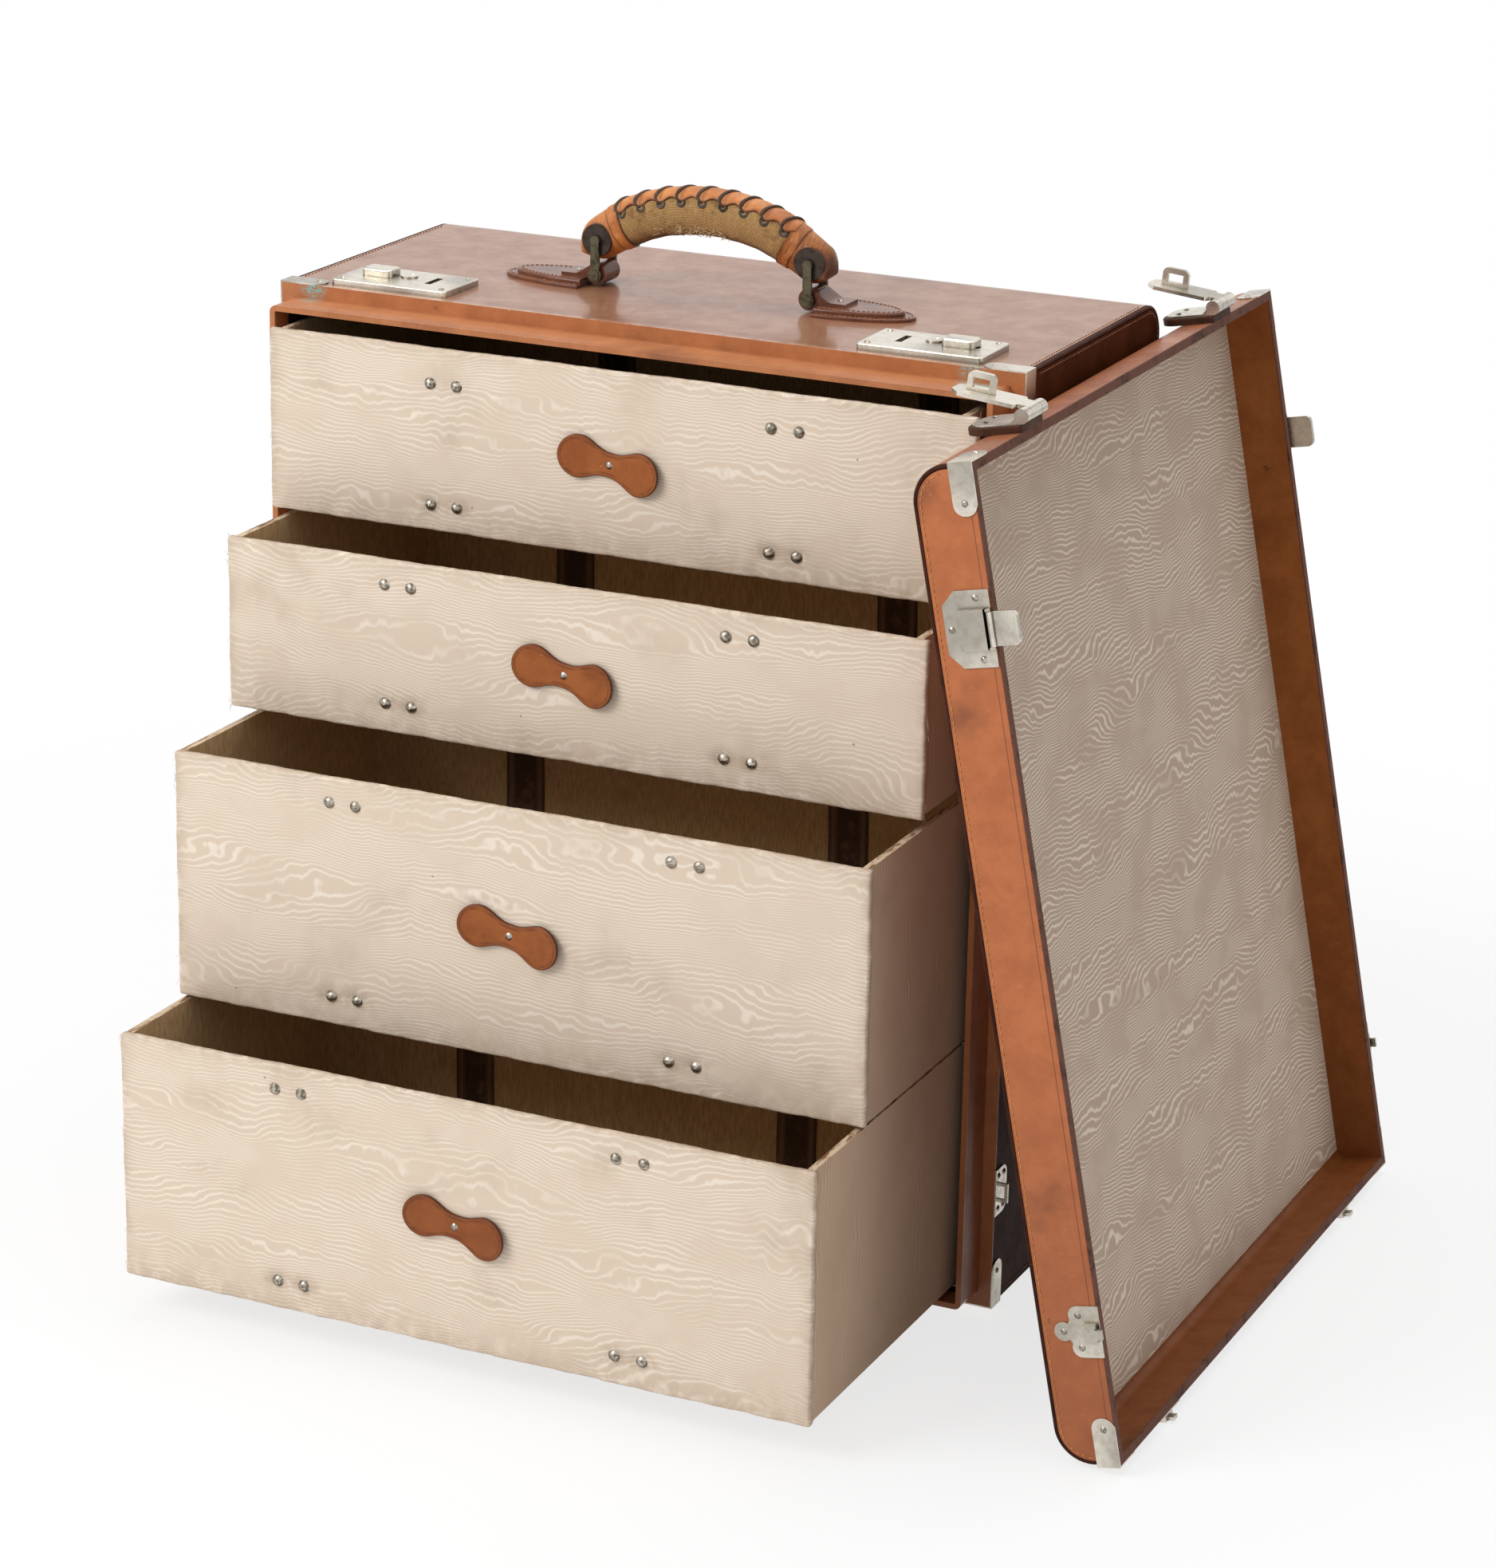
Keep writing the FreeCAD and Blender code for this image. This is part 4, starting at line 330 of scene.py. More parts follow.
def level_line(depth: float, reach: float) -> Line:
    """A line that runs from side to side, at a place between the front and the back."""
    return Line(BACK, depth, reach)


@dataclass(frozen=True)
class Leather:
    """Old leather: cloudy colour, stains, scratches, creased lines with painted shade in them, and rubbed
    edges.
    """

    name: str
    light: Triple
    dark: Triple
    stain: Triple
    worn: Triple
    roughness: float = 0.5
    gloss: float = 0.0
    relief: float = 0.12
    scratched: float = 0.4
    spotted: float = 0.5
    stained: float = 0.5
    seed: float = 0.0
    creases: tuple[Line, ...] = ()
    crease_shade: float = 0.75
    crease_depth: float = 2.5
    rubs: tuple[Line, ...] = ()
    edged: bool = False
    specular: float = 0.35
    coat_roughness: float = 0.22
    soiled_to: float = 330.0
    soil: float = 0.36
    verdigris: tuple[Triple, ...] = ()
    green: Triple = (0.15, 0.50, 0.50)
    green_reach: float = 15.0

    def make(self, effects: Effects) -> bpy.types.Material:
        """Builds the material.

        Args:
            effects: the shared node groups.

        Returns:
            The material.
        """
        material, graph, shader = new_material(self.name)
        place = graph.position()
        hide = graph.effect(effects.hide, {"Position": place, "Seed": self.seed})
        colour = graph.mix(hide["Clouds"], self.dark, self.light)
        colour = graph.tint(colour, self.stain, hide["Stain"], self.stained)
        marks = graph.times(hide["Scratches"], self.scratched)
        colour = graph.mix(marks, colour, self.worn)
        colour = graph.tint(colour, self.stain, hide["Spots"], self.spotted)
        height = hide["Pores"]
        patchy = graph.smooth(graph.noise(place, 0.09, 5.0, 0.7), 0.36, 0.60)
        for rub in self.rubs:
            colour = graph.mix(graph.times(rub.nearness(graph, place), patchy), colour, self.worn)
        for crease in self.creases:
            # Painted shade: each crease's groove is tinted towards the stain colour as well as sunk.
            groove = crease.nearness(graph, place)
            colour = graph.tint(colour, self.stain, groove, self.crease_shade)
            height = graph.math("SUBTRACT", height, graph.times(groove, self.crease_depth))
        if self.edged:
            colour = graph.mix(graph.attribute("rim"), colour, self.stain)
        for centre in self.verdigris:
            reach = graph.vector("DISTANCE", place, centre).outputs["Value"]
            specks = graph.smooth(graph.noise(place, 0.65, 4.0, 0.75), 0.49, 0.53)
            near = graph.smooth(reach, self.green_reach, self.green_reach / 3)
            colour = graph.mix(graph.times(specks, near), colour, self.green)
        low = graph.smooth(graph.along(place, UP), self.soiled_to, 0.0, 0.0, self.soil)
        dull = graph.math("MULTIPLY_ADD", hide["Clouds"], -0.10, self.roughness)
        graph.fill(shader, {
            "Base Color": graph.mix(low, colour, self.stain),
            "Roughness": graph.math("ADD", dull, graph.times(marks, 0.2)),
            "Coat Weight": self.gloss,
            "Coat Roughness": self.coat_roughness,
            "Specular IOR Level": self.specular,
            "Normal": graph.bump(height, self.relief, 0.8)})
        return material


class Weft(Enum):
    """Which way the silk runs: a pair of directions, along its lines and across them."""

    FRONT = (RIGHT, UP)
    SIDE = ((0.0, 0.05, 1.0), BACK)
    PANEL = (BACK, (-0.19, 0.02, 0.98))


@dataclass(frozen=True)
class Silk:
    """Watered silk, glued over board."""

    name: str
    ground: Triple
    line: Triple
    soiled: Triple
    weft: Weft
    contrast: float = 0.6
    lines: float = 9.0
    seed: float = 0.0
    edged: bool = False
    speck: Triple = (0.12, 0.07, 0.04)

    def paint(self, graph: Graph, place: Socket, effects: Effects) -> tuple[Socket, Socket]:
        """Adds the silk's pattern to a graph.

        Args:
            graph: the material's graph.
            place: the position in millimetres.
            effects: the shared node groups.

        Returns:
            The colour and the height of the silk.
        """
        along, across = self.weft.value
        silk = graph.effect(effects.silk, {"Along": graph.along(place, along), "Seed": self.seed,
                                           "Across": graph.along(place, across), "Lines": self.lines})
        uneven = graph.math("ADD", graph.times(silk["Clouds"], self.contrast), self.contrast * 0.4)
        colour = graph.mix(graph.times(silk["Bands"], uneven), self.ground, self.line)
        soil = graph.smooth(graph.noise(place, 0.012, 5.0, 0.6), 0.52, 0.78)
        colour = graph.tint(colour, self.soiled, soil, 0.35)
        specks = graph.smooth(graph.cells(place, 0.03), 0.035, 0.015)
        colour = graph.tint(colour, self.speck, specks, 0.6)
        return colour, graph.math("ADD", silk["Bands"], graph.times(silk["Ribs"], 0.5))

    def make(self, effects: Effects) -> bpy.types.Material:
        """Builds the material.

        Args:
            effects: the shared node groups.

        Returns:
            The material.
        """
        material, graph, shader = new_material(self.name)
        place = graph.position()
        colour, height = self.paint(graph, place, effects)
        if self.edged:
            uneven = graph.smooth(graph.noise(place, 0.08, 4.0, 0.7), 0.3, 0.6)
            colour = graph.tint(colour, self.soiled, graph.times(graph.attribute("rim"), uneven), 0.8)
        graph.fill(shader, {
            "Base Color": colour,
            "Roughness": 0.62,
            "Specular IOR Level": 0.35,
            "Sheen Weight": 0.06,
            "Sheen Roughness": 0.4,
            "Normal": graph.bump(height, 0.05, 0.6)})
        return material


@dataclass(frozen=True)
class DrawerLining:
    """A drawer's box: silk on the outside of its sides, glue-stained top edges, dark cloth inside."""

    name: str
    silk: Silk
    inside: Triple
    inside_light: Triple
    glue: Triple
    board: Triple = (0.66, 0.52, 0.36)
    inner_face: float = 248.2
    edge_inset: float = 0.5
    level_from: float = 0.6

    def make(self, effects: Effects) -> bpy.types.Material:
        """Builds the material.

        Args:
            effects: the shared node groups.

        Returns:
            The material.
        """
        material, graph, shader = new_material(self.name)
        place = graph.position()
        outside, height = self.silk.paint(graph, place, effects)
        threads = graph.noise(graph.scaled(place, (0.7, 0.7, 0.12)), 1.0, 3.0, 0.6)
        cloth = graph.mix(graph.smooth(threads, 0.3, 0.7), self.inside, self.inside_light)
        grime = graph.smooth(graph.noise(place, 0.03, 5.0, 0.65), 0.45, 0.7)
        cloth = graph.tint(cloth, self.inside, grime, 0.5)
        aside = graph.math("ABSOLUTE", graph.along(place, RIGHT))
        colour = graph.mix(graph.math("GREATER_THAN", aside, self.inner_face), cloth, outside)
        upward = graph.along(graph.add("ShaderNodeNewGeometry").outputs["Normal"], UP)
        edge = graph.times(graph.math("GREATER_THAN", upward, self.level_from),
                           graph.math("GREATER_THAN", aside, self.inner_face - self.edge_inset))
        stain = graph.smooth(graph.noise(graph.scaled(place, (0.3, 0.05, 0.3)), 1.0, 4.0, 0.7), 0.44, 0.62)
        graph.fill(shader, {
            "Base Color": graph.mix(edge, colour, graph.mix(stain, self.board, self.glue)),
            "Roughness": 0.75,
            "Specular IOR Level": 0.2,
            "Sheen Weight": 0.04,
            "Normal": graph.bump(graph.math("ADD", height, threads), 0.08, 0.7)})
        return material


@dataclass(frozen=True)
class Plate:
    """Worn metal."""

    name: str
    bright: Triple
    tarnish: Triple
    roughness: float = 0.3
    tarnished: float = 0.5
    metallic: float = 1.0
    painted_facing_shade: float = 0.7
    seed: float = 0.0
    darkest: float = 0.35
    # Reach of the painted shade in hollows, in millimetres.
    hollow_reach: float = 5.0

    def make(self, effects: Effects) -> bpy.types.Material:
        """Builds the material; its hollows and the places where it meets other parts get painted
        shade, and noise over the way it faces paints dark reflection patches on some of its sides.

        Args:
            effects: the shared node groups.

        Returns:
            The material.
        """
        material, graph, shader = new_material(self.name)
        place = graph.shifted(graph.position(), (self.seed, self.seed, self.seed))
        plate = graph.effect(effects.metal, {"Position": place})
        # Dark colour of the tarnish pits, also used for the painted shade and the painted reflection below.
        dark = tuple(value * self.darkest for value in self.tarnish)
        dull = graph.times(plate["Tarnish"], self.tarnished)
        colour = graph.mix(dull, self.bright, self.tarnish)
        colour = graph.tint(colour, dark, plate["Pits"], self.tarnished)
        # Painted reflection: noise over the way the surface faces darkens some of its sides, as a reflection
        # would.
        facing = graph.scaled(graph.add("ShaderNodeTexCoord").outputs["Normal"], (1.9, 1.9, 1.9))
        turned = graph.shifted(facing, graph.scaled(place, (0.014, 0.014, 0.014)))
        painted_facing_shade = graph.smooth(graph.noise(turned, 1.0, 1.0, 0.4), 0.44, 0.62)
        colour = graph.tint(colour, dark, painted_facing_shade, self.painted_facing_shade)
        # Painted shade: ambient occlusion darkens the hollows and the edges where the plate meets other
        # parts.
        hollow = graph.add("ShaderNodeAmbientOcclusion", {"Distance": self.hollow_reach * MM}, samples=8)
        colour = graph.mix(graph.smooth(hollow.outputs["AO"], 0.80, 0.25, 0.0, 0.9), colour, dark)
        rough = graph.math("MULTIPLY_ADD", dull, 0.30, self.roughness)
        relief = graph.math("SUBTRACT", plate["Scratches"], plate["Pits"])
        graph.fill(shader, {
            "Base Color": colour,
            "Metallic": self.metallic,
            "Roughness": graph.math("ADD", rough, graph.times(plate["Scratches"], 0.12)),
            "Normal": graph.bump(relief, 0.012, 0.5)})
        return material


@dataclass(frozen=True)
class Cloth:
    """Plain woven cloth, whose threads follow the piece's own map or slant through space."""

    name: str
    light: Triple
    dark: Triple
    soiled: Triple
    pitch: float = 1.5
    relief: float = 0.35
    mapped: bool = True

    def make(self, effects: Effects) -> bpy.types.Material:
        """Builds the material: a weave is the product of two sines at right angles.

        Args:
            effects: the shared node groups, which cloth doesn't need.

        Returns:
            The material.
        """
        material, graph, shader = new_material(self.name)
        place = graph.position()
        grime = graph.smooth(graph.noise(place, 0.06, 5.0, 0.7), 0.50, 0.68)
        threads, directions = place, ((0.7, 1.0, 0.7), (0.7, -0.6, -1.0))
        if self.mapped:
            cloth_map = graph.add("ShaderNodeUVMap", uv_map="cloth").outputs[0]
            threads = graph.scaled(cloth_map, (1 / MM, 1 / MM, 0.0))
            directions = ((1.0, 1.0, 0.0), (1.0, -1.0, 0.0))
            grime = graph.math("MAXIMUM", graph.times(grime, 0.65), graph.attribute("rim"))
        turns = 2 * math.pi / (self.pitch * 1.41)
        over, under = (graph.math("SINE", graph.times(graph.along(threads, direction), turns))
                       for direction in directions)
        raised = graph.smooth(graph.times(over, under), -0.7, 0.7)
        colour = graph.mix(raised, self.dark, self.light)
        uneven = graph.smooth(graph.noise(place, 0.35, 4.0, 0.65), 0.42, 0.75, 0.0, 0.6)
        colour = graph.mix(uneven, colour, self.light)
        graph.fill(shader, {
            "Base Color": graph.tint(colour, self.soiled, grime, 0.85),
            "Roughness": 0.9,
            "Specular IOR Level": 0.15,
            "Sheen Weight": 0.05,
            "Normal": graph.bump(raised, self.relief, 0.8)})
        return material


@dataclass(frozen=True)
class Thread:
    """Waxed thread or a single fibre."""

    name: str
    light: Triple
    dark: Triple
    roughness: float = 0.6

    def make(self, effects: Effects) -> bpy.types.Material:
        """Builds the material.

        Args:
            effects: the shared node groups, which thread doesn't need.

        Returns:
            The material.
        """
        material, graph, shader = new_material(self.name)
        place = graph.position()
        clouds = graph.smooth(graph.noise(place, 0.25, 3.0, 0.6), 0.35, 0.65)
        graph.fill(shader, {
            "Base Color": graph.mix(clouds, self.dark, self.light),
            "Roughness": self.roughness,
            "Normal": graph.bump(graph.noise(place, 2.0, 2.0), 0.1, 0.5)})
        return material


# ---- Mesh making --------------------------------------------------------------------------
def unit(vectors: Points) -> Points:
    """Vectors brought to length 1: each divided by its own length."""
    return vectors / np.linalg.norm(vectors, axis=-1, keepdims=True)


def sines(places: Points, waves: Sequence[Triple]) -> Points:
    """Sum of sines: for each (height, rate, start), height times the sine of rate times place plus start."""
    return sum(height * np.sin(places * rate + start) for height, rate, start in waves)


def bell(distance: Points, width: float) -> Points:
    """Bell curve: e to the power of minus (distance / width) squared."""
    return np.exp(-(distance / width) ** 2)


def fade(distance: Points, width: float) -> Points:
    """Falling curve: e to the power of minus distance / width."""
    return np.exp(-distance / width)


def soft_step(share: Points) -> Points:
    """Smooth step s * s * (3 - 2 * s), of a share held between 0 and 1."""
    share = np.clip(share, 0, 1)
    return share * share * (3 - 2 * share)


def stacked(*parts: Numbers) -> Points:
    """Numbers and arrays brought to one shape, and put side by side on a last axis."""
    return np.stack(np.broadcast_arrays(*parts), axis=-1)


def border(grid: Points) -> Points:
    """The outer points of a grid, once round."""
    return np.concatenate([grid[0], grid[1:, -1], grid[-1, -2::-1], grid[-2:0:-1, 0]])


def stand(name: str, data: bpy.types.ID) -> bpy.types.Object:
    """Makes an object and puts it in the scene.

    Args:
        name: what it is called.
        data: its mesh, lamp or camera.

    Returns:
        The new object.
    """
    made = bpy.data.objects.new(name, data)
    bpy.context.scene.collection.objects.link(made)
    return made


def placed(right: Points, up: Points, back: Points, place: Triple) -> Matrix:
    """The matrix of an object that stands at a place.

    Args:
        right: the direction of its X axis.
        up: the direction of its Y axis.
        back: the direction of its Z axis.
        place: where it stands, in metres.

    Returns:
        The matrix.
    """
    matrix = np.eye(4)
    matrix[:3] = np.stack([right, up, back, place], axis=1)
    return Matrix(matrix.tolist())


def edge_steps(low: float, high: float, step: float, close: Sequence[float]) -> Points:
    """Steps from low to high, closer together at both ends.

    Args:
        low: first value.
        high: last value.
        step: spacing away from the ends.
        close: extra distances from each end.

    Returns:
        The rising values.
    """
    inner = np.linspace(low + close[-1], high - close[-1], max(int((high - low) / step), 2))[1:-1]
    ends = np.array(close)
    return np.concatenate([low + ends, inner, (high - ends)[::-1]])


@dataclass
class Shell:
    """Gathers grids, bars, hairs and repeated stamps into one mesh."""

    points: list[Points] = field(default_factory=list)
    faces: list[list[int]] = field(default_factory=list)
    rims: list[Points] = field(default_factory=list)
    flats: list[Points] = field(default_factory=list)
    count: int = 0

    def place(self, points: Points, rim: Numbers = 0.0, flat: Optional[Points] = None) -> int:
        """Stores points, and gives the number of the first.

        Args:
            points: places in millimetres, on a last axis of three.
            rim: a number at each point, for the finish, or one for all.
            flat: the points' places on the cloth, two numbers in millimetres.

        Returns:
            The first point's number.
        """
        rows = points.reshape(-1, 3)
        first = self.count
        self.points.append(rows)
        self.rims.append(np.broadcast_to(rim, points.shape[:-1]).reshape(-1))
        self.flats.append(np.zeros((len(rows), 2)) if flat is None else flat.reshape(-1, 2))
        self.count += len(rows)
        return first

    def grid(self, points: Points, rim: Numbers = 0.0, flat: Optional[Points] = None,
             looped: bool = False) -> None:
        """Adds a surface given as a grid of points.

        Args:
            points: an array of rows, columns and three.
            rim: a number at each point, or one for all.
            flat: each point's place on the cloth.
            looped: the last column joins the first.
        """
        rows, columns = points.shape[:2]
        first = self.place(points, rim, flat)
        index = first + np.arange(rows * columns).reshape(rows, columns)
        if looped:
            index = np.concatenate([index, index[:, :1]], axis=1)
        quads = stacked(index[:-1, :-1], index[:-1, 1:], index[1:, 1:], index[1:, :-1])
        self.faces += quads.reshape(-1, 4).tolist()

    def polygon(self, first: int, count: int) -> None:
        """Closes a ring of points that are stored one after another."""
        self.faces.append(list(range(first, first + count)))

    def bar(self, rings: Points, rim: Numbers = 0.0, flat: Optional[Points] = None) -> None:
        """Adds a closed bar: rings joined one to the next, and a face over each end.

        Args:
            rings: an array of rings, points and three.
            rim: a number at each point, or one for all.
            flat: each point's place on the cloth.
        """
        size = rings.shape[1]
        first = self.count
        self.grid(rings, rim, flat, looped=True)
        self.polygon(first, size)
        self.polygon(self.count - size, size)

    def tube(self, path: Points, radius: Numbers, sides: int, up: Triple, squash: float = 1.0) -> None:
        """Adds a closed round bar: circles set square to the path, across it and towards up.

        Args:
            path: the points of its middle line.
            radius: one radius, or one for each point.
            sides: points round it.
            up: a direction that the path never follows.
            squash: its height over its width.
        """
        tangent = unit(np.gradient(path, axis=0))
        across = unit(np.cross(tangent, np.array(up)))
        upward = np.cross(across, tangent)
        turn = np.linspace(0, 2 * np.pi, sides, endpoint=False)[None, :, None]
        size = np.broadcast_to(radius, (len(path),))[:, None, None]
        ring = np.cos(turn) * across[:, None] + squash * np.sin(turn) * upward[:, None]
        self.bar(path[:, None] + size * ring)

    def hair(self, start: Points, run: Points, sag: Points, radius: float, steps: int, up: Triple) -> None:
        """Adds a bent hair: start + run * t + sag * t squared, for t from 0 to 1.

        Args:
            start: its first point.
            run: its direction and length.
            sag: how far its end is bent aside.
            radius: half its thickness.
            steps: points along it.
            up: a direction that it never follows.
        """
        share = np.linspace(0, 1, steps)[:, None]
        self.tube(start + run * share + sag * share ** 2, radius, 3, up)

    def stamp(self, shape: Points, faces: Sequence[Sequence[int]], places: Points, forward: Points,
              outward: Points) -> None:
        """Repeats a small shape: place + a * forward + b * sideways + c * outward for each of its points.

        Args:
            shape: the shape's points, as (a, b, c).
            faces: the shape's faces.
            places: where each copy goes.
            forward: each copy's first direction.
            outward: each copy's third direction.
        """
        sideways = np.cross(outward, forward)
        frames = np.stack([forward, sideways, outward], axis=1)
        points = places[:, None] + np.einsum("kj,nji->nki", shape, frames)
        first = self.place(points)
        size = len(shape)
        starts = first + size * np.arange(len(places))
        for face in faces:
            self.faces += (starts[:, None] + np.array(face)[None]).tolist()

    def build(self, name: str, material: bpy.types.Material, body: str, slot: str) -> bpy.types.Object:
        """Makes the object, points its faces outwards and lets it ride on its body.

        Args:
            name: the object's name.
            material: its finish.
            body: the body that it moves with.
            slot: a material slot's name; not used.

        Returns:
            The new object.
        """
        mesh = bpy.data.meshes.new(name)
        mesh.from_pydata((np.concatenate(self.points) * MM).tolist(), [], self.faces)
        rim = mesh.attributes.new("rim", "FLOAT", "POINT")
        rim.data.foreach_set("value", np.concatenate(self.rims).astype(np.float32))
        flat = np.concatenate(self.flats) * MM
        corners = np.empty(len(mesh.loops), dtype=np.int32)
        mesh.loops.foreach_get("vertex_index", corners)
        mesh.uv_layers.new(name="cloth").data.foreach_set("uv", flat[corners].ravel().astype(np.float32))
        shape = bmesh.new()
        shape.from_mesh(mesh)
        bmesh.ops.remove_doubles(shape, verts=shape.verts, dist=0.01 * MM)
        bmesh.ops.recalc_face_normals(shape, faces=shape.faces)
        shape.to_mesh(mesh)
        shape.free()
        mesh.polygons.foreach_set("use_smooth", np.ones(len(mesh.polygons), dtype=bool))
        mesh.materials.append(material)
        piece = stand(name, mesh)
        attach(piece, body)
        LOG.info("%s: %d faces on %s", name, len(mesh.polygons), body)
        return piece


def walk(path: Points, step: float, start: float = 0.0) -> tuple[Points, Points]:
    """Even steps along a path of straight runs: places by its length, and its directions there.

    Args:
        path: the path's points.
        step: distance between places.
        start: distance of the first place from the path's start.

    Returns:
        The places and the unit directions.
    """
    runs = np.linalg.norm(np.diff(path, axis=0), axis=1)
    reached = np.concatenate([[0.0], np.cumsum(runs)])
    wanted = np.arange(start, reached[-1] - start, step)
    places, ahead, behind = (
        np.stack([np.interp(wanted + shift, reached, path[:, axis]) for axis in range(3)], axis=1)
        for shift in (0.0, 0.5, -0.5))
    return places, unit(ahead - behind)


@dataclass(frozen=True)
class Stitching:
    """A row of stitches: short arched bars sunk at both ends."""

    pitch: float = 4.4
    length: float = 3.4
    radius: float = 0.36
    rise: float = 0.42
    sunk: float = 0.1
    slant: float = 0.0

    def template(self) -> tuple[Points, list[list[int]]]:
        """One stitch: five rings of four points along an arch, rise times the cosine less what is sunk.

        Returns:
            Its points as (along, aside, out), and its faces.
        """
        run = np.linspace(-0.5, 0.5, 5)
        middle = stacked(run * self.length, run * self.slant, self.rise * np.cos(run * np.pi) - self.sunk)
        size = self.radius * np.array([0.45, 0.9, 1.0, 0.9, 0.45])
        turn = np.linspace(0, 2 * np.pi, 4, endpoint=False) + np.pi / 4
        ring = stacked(0.0, np.cos(turn), np.sin(turn))
        points = (middle[:, None] + size[:, None, None] * ring).reshape(-1, 3)
        corners = [(row * 4 + side, row * 4 + (side + 1) % 4) for row in range(4) for side in range(4)]
        return points, [[first, after, after + 4, first + 4] for first, after in corners]

    def sew(self, shell: Shell, path: Points, outward: Triple) -> None:
        """Adds the row to a shell.

        Args:
            shell: what the stitches are gathered in.
            path: the line that they follow.
            outward: the direction off the leather.
        """
        points, faces = self.template()
        places, forward = walk(path, self.pitch, self.pitch)
        off = np.broadcast_to(np.array(outward, float), places.shape)
        shell.stamp(points, faces, places, forward, off)


def rounded_line(corners: Sequence[Triple], steps: int = 10) -> Points:
    """A line of straight runs with round corners, as pairs.

    Args:
        corners: each corner's two places and its radius.
        steps: points in each round corner.

    Returns:
        The line's points.
    """
    spots = np.array([corner[:2] for corner in corners])
    line = [spots[:1]]
    for index in range(1, len(corners) - 1):
        radius = corners[index][2]
        back = unit(spots[index - 1] - spots[index])
        on = unit(spots[index + 1] - spots[index])
        if radius <= 0:
            line.append(spots[index:index + 1])
            continue
        half = math.acos(float(np.clip(back @ on, -1, 1))) / 2
        start = spots[index] + back * radius / math.tan(half)
        end = spots[index] + on * radius / math.tan(half)
        middle = spots[index] + unit(back + on) * radius / math.sin(half)
        share = np.linspace(0, 1, steps)[:, None]
        chord = start * (1 - share) + end * share - middle
        line.append(middle + unit(chord) * radius)
    line.append(spots[-1:])
    return np.concatenate(line)


# ---- The trunk's sizes --------------------------------------------------------------------
@dataclass(frozen=True)
class Trunk:
    """Sizes that several sub-assemblies share."""

    half: float = 275.0
    top: float = 655.0
    rim: float = -125.0
    back: float = 125.0
    lid_face: float = -168.0
    edge_radius: float = 25.0
    foot: float = 8.4
    lean: float = 11.1
    lid_near: float = -306.0
    lean_gap: float = 0.3
    hook_length: float = 10.0
    hook_rise: float = 6.5
    handle_y: float = -21.5

    def leaning(self, closed: Points) -> Points:
        """Places on the closed lid, brought to where it leans: a turn about Z, a tilt and a shift.

        Args:
            closed: the places, on a last axis of three.

        Returns:
            The same places on the leaning lid.
        """
        lean = math.radians(self.lean)
        reach = self.edge_radius * math.cos(lean) - (self.top - self.edge_radius) * math.sin(lean)
        corner_x = self.half + self.lean_gap + self.edge_radius - reach
        depth = self.rim - self.lid_face
        lowest = (depth - self.hook_length) * math.sin(lean) - self.hook_rise * math.cos(lean)
        corner_z = -self.foot - lowest
        x, y, z = closed[..., 0], closed[..., 1] - self.lid_face, closed[..., 2]
        return np.stack([corner_x + y * math.cos(lean) - z * math.sin(lean), self.lid_near + self.half - x,
                         corner_z + y * math.sin(lean) + z * math.cos(lean)], axis=-1)

    def leaning_direction(self, closed: Triple) -> Triple:
        """A direction on the closed lid, turned as it leans."""
        ends = self.leaning(np.array([[0.0, 0.0, 0.0], closed]))
        return tuple(float(value) for value in ends[1] - ends[0])


TRUNK = Trunk()


